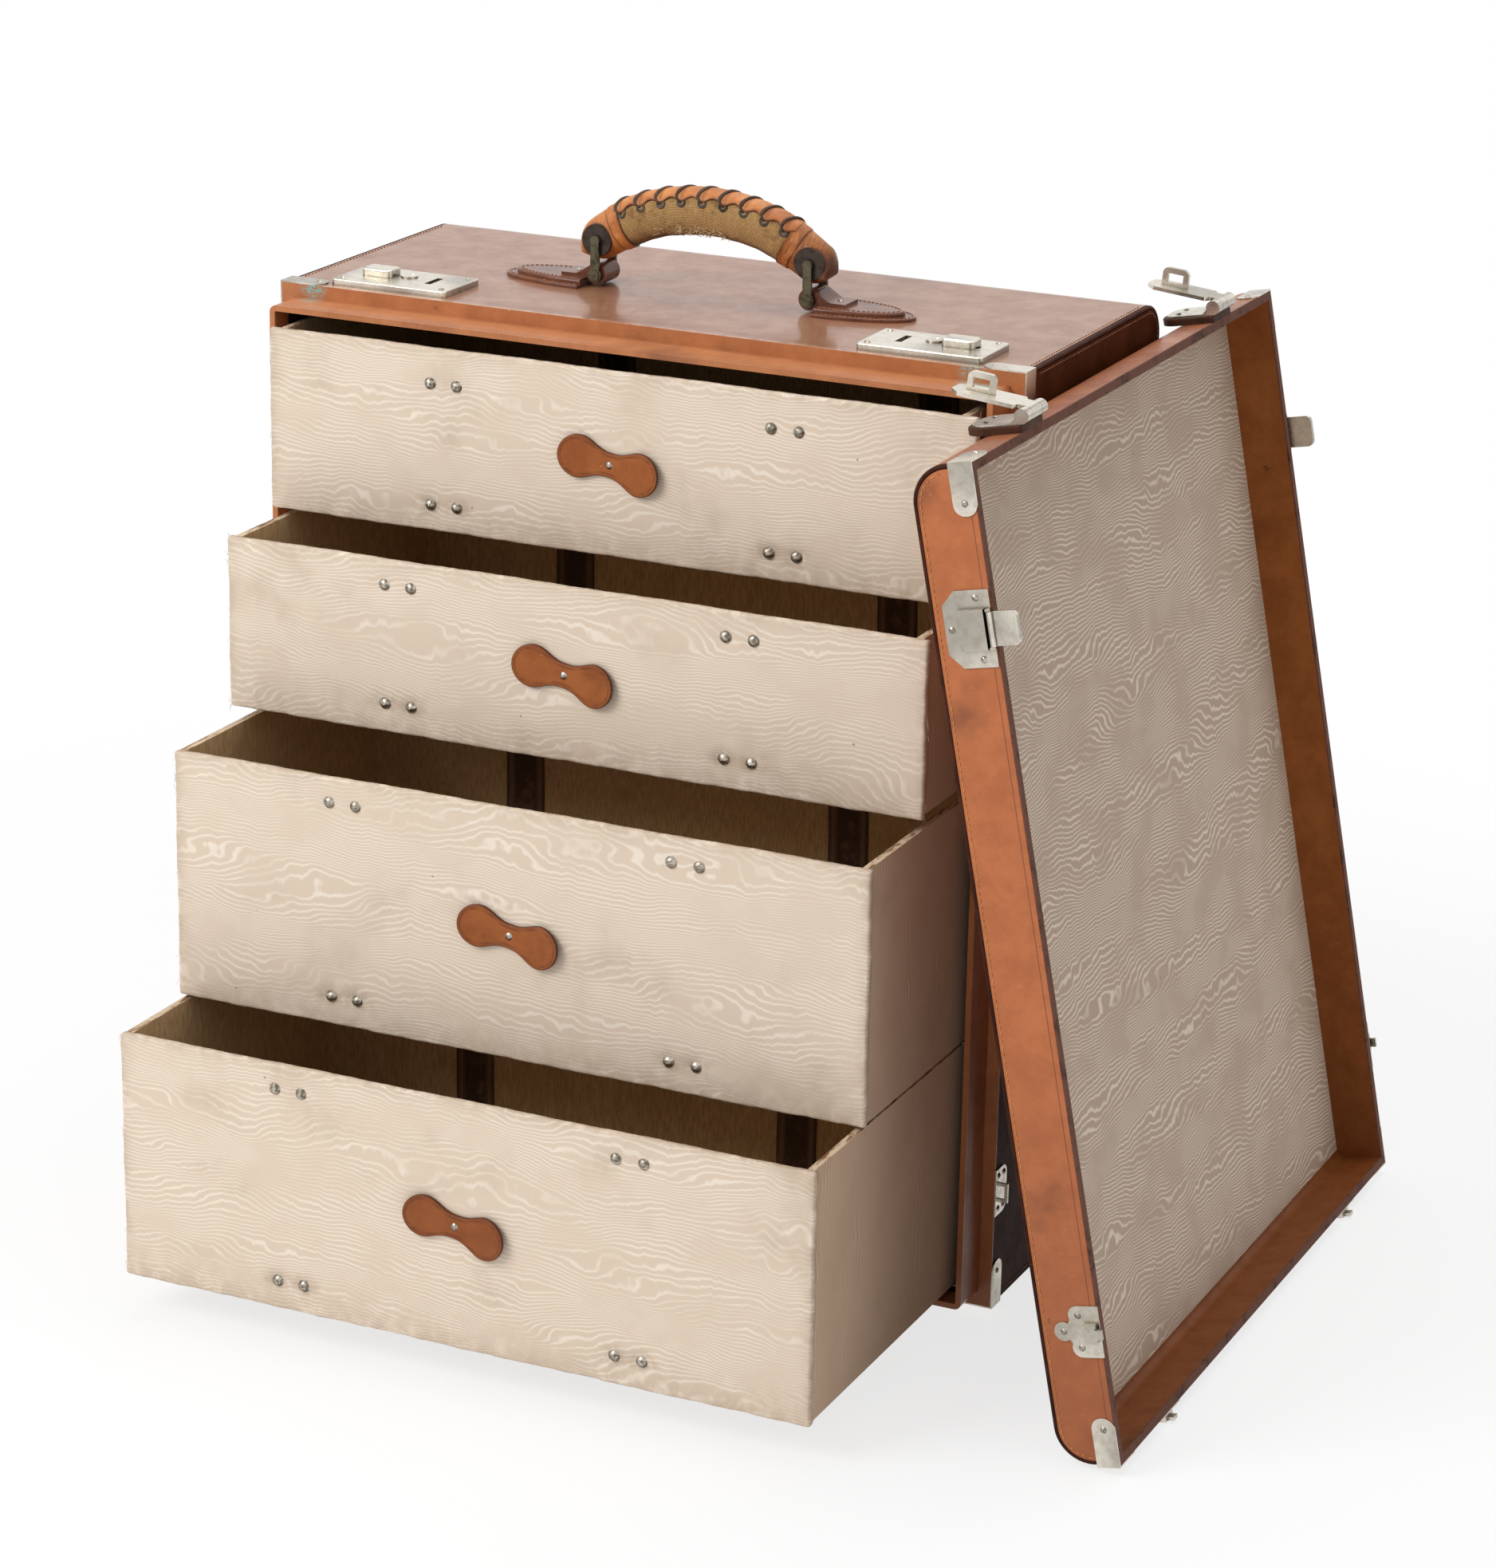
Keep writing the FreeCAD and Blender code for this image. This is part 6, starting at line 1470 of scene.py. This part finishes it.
# ---- Handle -------------------------------------------------------------------------------
@dataclass
class Handle:
    """Canvas grip bowed along an arc, with a laced leather strip and a leather cap over each end."""

    finishes: Finishes
    arc: float = 138.24
    centre_z: float = 574.76
    end_angle: float = 35.36
    half_width: float = 13.2
    half_height: float = 15.6
    end_half_width: float = 10.8
    end_radius: float = 14.4
    pin_across: float = 80.0
    pin_z: float = 687.5
    strip_thickness: float = 1.4
    strip_half: float = 9.4
    strip_span: float = 27.5
    eyelets: int = 9
    eyelet_span: float = 24.6
    eyelet_rise: float = 8.0
    band_from: float = 13.0
    band_to: float = 22.5
    arm_reach: float = 18.5
    arm_room: float = 11.35
    disc_radius: float = 10.4
    disc_face: float = 9.0
    nearly: float = 0.9985
    canvas_rows: int = 181
    canvas_sides: int = 72
    canvas_round: float = 14.4
    dent_arc: float = 138.0
    hollow: float = 0.35
    hem_height: float = 0.45
    hem_place: float = 0.52
    strip_rows: int = 150
    strip_columns: int = 25
    cap_thickness: float = 0.55
    band_rise: float = 0.75
    cap_rows: int = 111
    cap_sides: int = 176
    lace_radius: float = 1.55
    lace_dive: float = 3.0
    lace_clear: float = 0.3
    lace_flatness: float = 0.62
    lace_steps: int = 33
    lace_sides: int = 10
    fibre_count: int = 170

    def section(self, turn: Numbers) -> tuple[Points, Points]:
        """Half width and half height of the canvas at each angle.

        Past the pin the height follows a circle about it. The width shrinks softly near the arms.

        Args:
            turn: angle along the arc, in radians, 0 at its crest.

        Returns:
            The half widths and the half heights.
        """
        past = np.maximum(np.abs(turn) - math.radians(self.end_angle), 0) * self.arc
        before = np.maximum(math.radians(self.end_angle) - np.abs(turn), 0) * self.arc
        share = soft_step((before - self.arm_reach) / 7.0)
        wide = self.end_half_width + (self.half_width - self.end_half_width) * share
        tall = self.end_radius + (self.half_height - self.end_radius) * np.clip(before / 25.0, 0, 1)
        cap = np.sqrt(np.maximum(1 - (past / self.end_radius) ** 2, 0))
        return wide, tall * cap

    def surface(self, turn: Numbers, around: Numbers, extra: Numbers) -> Points:
        """Places on the grip: the arc's point plus radial * tall * sin + sideways * wide * cos, pushed out.

        Args:
            turn: angle along the arc, in radians, 0 at its crest.
            around: angle round the section, a right angle at the top.
            extra: distance off the canvas.

        Returns:
            The places.
        """
        wide, tall = self.section(turn)
        radius = self.arc + (tall + extra) * np.sin(around)
        return stacked(radius * np.sin(turn), TRUNK.handle_y + (wide + extra) * np.cos(around),
                       self.centre_z + radius * np.cos(turn))

    def canvas(self) -> None:
        """The canvas body, dented and dirty below, closed to a line about each end pin.

        A hem stands up on both sides of the crest, a bell curve of the sideways place.
        """
        half = math.radians(self.end_angle) + self.end_radius / self.arc
        share = np.linspace(-1, 1, self.canvas_rows)
        turn = half * np.sin(share * np.pi / 2) * 0.35 + half * share * 0.65
        turn = (turn / np.abs(turn).max() * half * self.nearly)[:, None]
        around = np.linspace(0, 2 * np.pi, self.canvas_sides, endpoint=False)[None, :]
        along = turn * self.dent_arc
        dent = sines(along + 6 * around, ((0.16, 0.16, 0.0), (0.10, 0.41, 1.0)))
        dent = dent + self.hollow * bell(along + 8, 26.0) * sines(around, ((1.0, 3.0, 1.2),))
        hem = self.hem_height * bell(np.abs(np.cos(around)) - self.hem_place, 0.035) * (np.sin(around) > 0)
        below = np.clip((-np.sin(around) - 0.62) * 2.6, 0, 1)
        near_ends = np.clip((np.abs(turn) * self.arc - 66.0) / 10.0, 0, 1)
        shell = Shell()
        shell.bar(self.surface(turn, around, dent + hem), rim=np.clip(below + 0.5 * near_ends, 0, 1),
                  flat=stacked(turn * self.arc, around * self.canvas_round))
        piece = shell.build("grip_canvas", self.finishes.canvas, "grip", "canvas")
        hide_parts("grip_core")

    def strip(self, shell: Shell) -> None:
        """Strip over the crest: its long edges dip at each eyelet, and it swells between the laces.

        Args:
            shell: what the leatherwork is gathered in.
        """
        span = math.radians(self.strip_span)
        turn = np.linspace(-span, span, self.strip_rows)[:, None]
        run = np.linspace(-1, 1, self.strip_columns)[None, :]
        scallop = np.cos(2 * np.pi * turn / math.radians(2 * self.eyelet_span / (self.eyelets - 1)))
        edge = math.acos(self.strip_half / self.half_width) - 0.10 - 0.10 * scallop
        around = np.pi / 2 + run * (np.pi / 2 - edge)
        swell = 0.33 * (1 - scallop) * (0.4 + 0.6 * run ** 2)
        ends = np.clip((span - np.abs(turn)) * self.arc / 1.2, 0, 1) ** 0.5
        thick = self.strip_thickness * (1 - np.clip(np.abs(run) - 0.93, 0, 1) * 6) * ends + swell * ends
        outer = self.surface(turn, around, thick)
        under = self.surface(turn, around, 0.05)
        worn = np.maximum(np.clip((np.abs(run) - 0.88) * 7, 0, 1), 1.8 * np.clip(scallop - 0.75, 0, 1))
        rim = np.concatenate([worn, np.ones_like(thick)], axis=1)
        shell.bar(np.concatenate([outer, under[:, ::-1]], axis=1), rim=np.clip(rim, 0, 1))

    def cap(self, shell: Shell, side: int) -> None:
        """Leather over an end: it follows the grip round the pin, and is sunk for the metal discs.

        Its height over the canvas is thin + more * smooth step, where the band begins. On both
        sides it is pressed in within a disc's reach of the pin.

        Args:
            shell: what the leatherwork is gathered in.
            side: -1 for the left end and 1 for the right.
        """
        pin = math.radians(self.end_angle)
        far = self.end_radius * self.nearly
        distance = -far + (self.band_to + far) * np.linspace(0, 1, self.cap_rows)[:, None]
        distance = np.where(distance < 0, -far * np.sin(-distance / far * np.pi / 2), distance)
        around = np.linspace(0, 2 * np.pi, self.cap_sides, endpoint=False)[None, :]
        ragged = sines(around, ((0.45, 2.0, 0.4), (0.30, 3.0, 1.0 + side), (0.15, 11.0, 0.0)))
        turn = side * (pin - (distance + ragged * np.clip(distance / self.band_to, 0, 1)) / self.arc)
        step = soft_step((distance - self.band_from) / 1.6)
        wear = sines(around + distance * 0.2, ((0.07, 9.0, 0.0), (0.05, 17.0, 2.0)))
        outer = self.surface(turn, around, self.cap_thickness + self.band_rise * step + wear)
        reach = np.hypot(outer[..., 0] - side * self.pin_across, outer[..., 2] - self.pin_z)
        sunk = 1 - np.clip((reach - self.disc_radius) / 0.7, 0, 1)
        limit = np.where(np.abs(distance) < self.arm_reach, self.arm_room, 20.0)
        aside = np.clip(outer[..., 1] - TRUNK.handle_y, -limit, limit)
        pressed = aside * (1 - sunk) + np.sign(aside) * self.disc_face * sunk
        outer[..., 1] = TRUNK.handle_y + np.where(np.abs(aside) > self.disc_face, pressed, aside)
        seam = 0.8 * bell(distance - self.band_from - 0.4, 0.55)
        edge = fade(self.band_to - distance, 0.9)
        ring = fade(np.maximum(reach - 11.0, 0), 0.8)
        start = shell.count
        shell.grid(outer, rim=np.clip(np.maximum(np.maximum(seam, edge), ring), 0, 1), looped=True)
        shell.polygon(start, self.cap_sides)
        rolled = np.stack([outer[-1], self.surface(turn[-1:], around, -0.1)[0]])
        shell.grid(rolled, rim=1.0, looped=True)

    def leather(self) -> None:
        """Strip and end caps as one piece of leatherwork."""
        shell = Shell()
        self.strip(shell)
        for side in SIDES:
            self.cap(shell, side)
        piece = shell.build("grip_leatherwork", self.finishes.strip_hide, "grip", "tan_leather")
        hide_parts("grip_leather")

    def laces(self) -> None:
        """Flat laces: each leaves an eyelet, climbs over the strip and drops into the one behind it.

        The path goes round the section at an even rate while it drifts along the arc, and both its
        ends dive below the canvas.
        """
        shell = Shell()
        edge = math.asin(self.eyelet_rise / self.half_height)
        angles = np.linspace(-self.eyelet_span, self.eyelet_span, self.eyelets)
        step = math.radians(angles[1] - angles[0])
        share = np.linspace(0, 1, self.lace_steps)
        around = edge + (np.pi - 2 * edge) * share
        drift = 0.85 * step * (share - 0.5) * (1 - np.abs(2 * share - 1) ** 4)
        dive = self.lace_dive * (fade(share, 0.05) + fade(1 - share, 0.05))
        height = self.strip_thickness + self.lace_clear - dive
        for number, angle in enumerate(angles):
            path = self.surface(math.radians(angle) - drift, around, height)
            radius = self.lace_radius + 0.15 * np.sin(share * 17.0 + number)
            shell.tube(path, radius, self.lace_sides, (0.05, 0.1, 1.0), squash=self.lace_flatness)
        piece = shell.build("grip_laces", self.finishes.lace_hide, "grip", "lace")
        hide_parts("grip_lacing")

    def fibres(self) -> None:
        """Torn fibres at the front of the grip's lower edge: short hairs along a tear."""
        random = np.random.default_rng(7)
        shell = Shell()
        for _ in range(self.fibre_count):
            turn = np.radians(random.normal(-1.0, 5.5))
            around = np.pi + 0.85 + 0.16 * math.sin(turn * 60) + random.normal(0, 0.10)
            run = np.array([random.normal(0, 3.4), -random.uniform(0.1, 1.1), random.normal(-0.3, 1.1)])
            sag = np.array([0.0, -random.uniform(0.0, 0.9), random.normal(-0.3, 0.9)])
            radius = random.uniform(0.14, 0.28)
            shell.hair(self.surface(turn, around, 0.1), run, sag, radius, 6, (0.2, 0.9, 0.4))
        shell.build("grip_torn_fibres", self.finishes.hemp, "grip", "canvas")

    def build(self) -> None:
        """Makes the handle's pieces."""
        self.canvas()
        self.leather()
        self.laces()
        self.fibres()


# ---- Stitching ----------------------------------------------------------------------------
@dataclass
class Seams:
    """Rows of stitches on the case, the lid and the handle's patches."""

    finishes: Finishes
    inset: float = 5.2
    corner: float = 20.0
    pad_start: float = 88.0
    pads: tuple[Triple, ...] = ((63.4, 22.4, 657.5), (54.6, 17.1, 660.7))
    pad_steps: int = 80
    from_rim: float = 20.0
    top_from_rim: float = 19.0

    def side_path(self, open_y: float, end_y: float) -> Points:
        """The line of stitches on a side panel: inset from its edges, round at the two far corners.

        Args:
            open_y: where the line begins and ends, at the panel's open edge.
            end_y: the panel's far edge.

        Returns:
            The line's points, as pairs of Y and Z.
        """
        far = end_y - math.copysign(self.inset, end_y - open_y)
        low, high = self.inset, TRUNK.top - self.inset
        return rounded_line([(open_y, low, 0.0), (far, low, self.corner),
                             (far, high, self.corner), (open_y, high, 0.0)])

    def case_sides(self) -> None:
        """Stitches on both side panels of the case, and along both edges of its top."""
        shell = Shell()
        pairs = self.side_path(TRUNK.rim + self.from_rim, TRUNK.back)
        for side in SIDES:
            path = np.insert(pairs, 0, side * TRUNK.half, axis=1)
            Stitching().sew(shell, path, (float(side), 0.0, 0.0))
        for side in SIDES:
            across = side * (TRUNK.half - self.inset)
            ends = np.array([TRUNK.rim + self.top_from_rim, TRUNK.back - TRUNK.edge_radius])
            Stitching().sew(shell, stacked(across, ends, TRUNK.top), UP)
        shell.build("case_stitches", self.finishes.brown_thread, "case", "seam_leather")

    def lid_sides(self) -> None:
        """Stitches on both side panels of the lid, where it leans."""
        shell = Shell()
        pairs = self.side_path(TRUNK.rim - self.from_rim, TRUNK.lid_face)
        for side in SIDES:
            path = TRUNK.leaning(np.insert(pairs, 0, side * TRUNK.half, axis=1))
            Stitching().sew(shell, path, TRUNK.leaning_direction((float(side), 0.0, 0.0)))
        shell.build("lid_stitches", self.finishes.gold_thread, "lid", "seam_leather")

    def patches(self) -> None:
        """Stitches round the half-oval patches: start + reach * cos, and half width * sin."""
        shell = Shell()
        turn = np.linspace(-np.pi / 2, np.pi / 2, self.pad_steps)
        for side in SIDES:
            for reach, half, level in self.pads:
                path = stacked(side * (self.pad_start + reach * np.cos(turn)),
                               TRUNK.handle_y + half * np.sin(turn), level)
                Stitching(pitch=3.4, length=2.7, radius=0.32, slant=0.5).sew(shell, path, UP)
        shell.build("patch_stitches", self.finishes.brown_thread, "case", "seam_leather")

    def build(self) -> None:
        """Sews every row."""
        self.case_sides()
        self.lid_sides()
        self.patches()


# ---- Studio -------------------------------------------------------------------------------
@dataclass(frozen=True)
class Lamp:
    """A square soft lamp: its place and its side in metres, and its watts."""

    name: str
    place: Triple
    side: float
    power: float

    def hang(self, target: Triple) -> None:
        """Hangs the lamp at its place.

        Args:
            target: the place that it faces.
        """
        data = bpy.data.lights.new(self.name, "AREA")
        data.size = self.side
        data.energy = self.power
        back = unit(np.array(self.place) - np.array(target))
        right = unit(np.cross(np.array(UP), back))
        stand(self.name, data).matrix_world = placed(right, np.cross(back, right), back, self.place)


@dataclass
class Studio:
    """White floor, soft lamps and the camera, in metres and degrees."""

    camera_place: Triple = (1.31946, -2.79257, 1.33601)
    azimuth: float = 24.8345
    pitch: float = 18.5783
    roll: float = 1.0794
    lens: float = 110.2105
    sensor: float = 36.0
    ambient: float = 0.46
    floor_size: float = 14.0
    floor_glow: float = 0.76
    clear_from: float = 0.60
    clear_to: float = 1.30
    middle: Triple = (0.1, -0.1, 0.3)
    lamps: tuple[Lamp, ...] = (Lamp("key_lamp", (-1.5, -2.2, 2.3), 1.6, 62.0),
                               Lamp("top_lamp", (0.1, 0.6, 2.7), 1.8, 26.0),
                               Lamp("right_lamp", (2.6, -0.9, 1.6), 1.4, 4.0))

    def camera(self) -> None:
        """Sets the camera by its place and its three turns."""
        azimuth, pitch, roll = (math.radians(value) for value in (self.azimuth, self.pitch, self.roll))
        forward = np.array([-math.sin(azimuth) * math.cos(pitch), math.cos(azimuth) * math.cos(pitch),
                            -math.sin(pitch)])
        right = np.array([math.cos(azimuth), math.sin(azimuth), 0.0])
        up = np.cross(right, forward)
        turned_right = math.cos(roll) * right + math.sin(roll) * up
        turned_up = math.cos(roll) * up - math.sin(roll) * right
        data = bpy.data.cameras.new("camera")
        data.lens = self.lens
        data.sensor_width = self.sensor
        data.sensor_fit = "HORIZONTAL"
        camera = stand("camera", data)
        camera.matrix_world = placed(turned_right, turned_up, -forward, self.camera_place)
        bpy.context.scene.camera = camera

    @staticmethod
    def seen(graph: Graph) -> Socket:
        """Tells which rays show the background: from the camera, or through or off something.

        Args:
            graph: the graph of the floor or the world.

        Returns:
            1 for those rays, and 0 for the others.
        """
        path = graph.add("ShaderNodeLightPath")
        either = graph.math("MAXIMUM", path.outputs["Is Camera Ray"], path.outputs["Is Glossy Ray"])
        return graph.math("MAXIMUM", either, path.outputs["Is Transmission Ray"])

    def world(self) -> None:
        """White behind everything, and softer as a light."""
        world = bpy.data.worlds.new("studio")
        world.use_nodes = True
        bpy.context.scene.world = world
        graph = Graph(world.node_tree)
        strength = graph.math("MULTIPLY_ADD", self.seen(graph), 1.0 - self.ambient, self.ambient)
        graph.fill(world.node_tree.nodes["Background"], {"Color": (1.0, 1.0, 1.0), "Strength": strength})

    def floor(self) -> None:
        """White floor at the feet, which glows a little to the camera and keeps the shadow."""
        half = self.floor_size / 2
        level = -TRUNK.foot * MM
        mesh = bpy.data.meshes.new("floor")
        corners = [(x * half, y * half, level) for x, y in ((-1, -1), (1, -1), (1, 1), (-1, 1))]
        mesh.from_pydata(corners, [], [(0, 1, 2, 3)])
        material, graph, shader = new_material("floor_white")
        graph.fill(shader, {"Base Color": (0.93, 0.93, 0.93), "Roughness": 0.9, "Specular IOR Level": 0.1})
        glow = graph.add("ShaderNodeEmission", {"Color": (1.0, 1.0, 1.0), "Strength": 1.0})
        place = graph.add("ShaderNodeTexCoord").outputs["Object"]
        distance = graph.vector("LENGTH", place, (0.0, 0.0, 0.0)).outputs["Value"]
        glowing = graph.smooth(distance, self.clear_from, self.clear_to, self.floor_glow, 1.0)
        share = graph.times(self.seen(graph), glowing)
        mixed = graph.add("ShaderNodeMixShader", {0: share, 1: shader.outputs[0], 2: glow.outputs[0]})
        graph.feed(material.node_tree.nodes["Material Output"].inputs["Surface"], mixed.outputs[0])
        mesh.materials.append(material)
        stand("floor", mesh)

    def build(self) -> None:
        """Sets up the whole studio."""
        bpy.context.scene.view_settings.view_transform = "Standard"
        self.camera()
        self.world()
        self.floor()
        for lamp in self.lamps:
            lamp.hang(self.middle)


# ---- Making -------------------------------------------------------------------------------
def main() -> None:
    """Dresses the trunk."""
    logging.basicConfig(level=logging.INFO, format="%(name)s %(message)s")
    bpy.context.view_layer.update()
    Studio().build()
    finishes = Finishes()
    finishes.dress(frame["nodes"])
    DrawerSet(finishes).build()
    Handle(finishes).build()
    Seams(finishes).build()


if __name__ == "__main__":
    main()
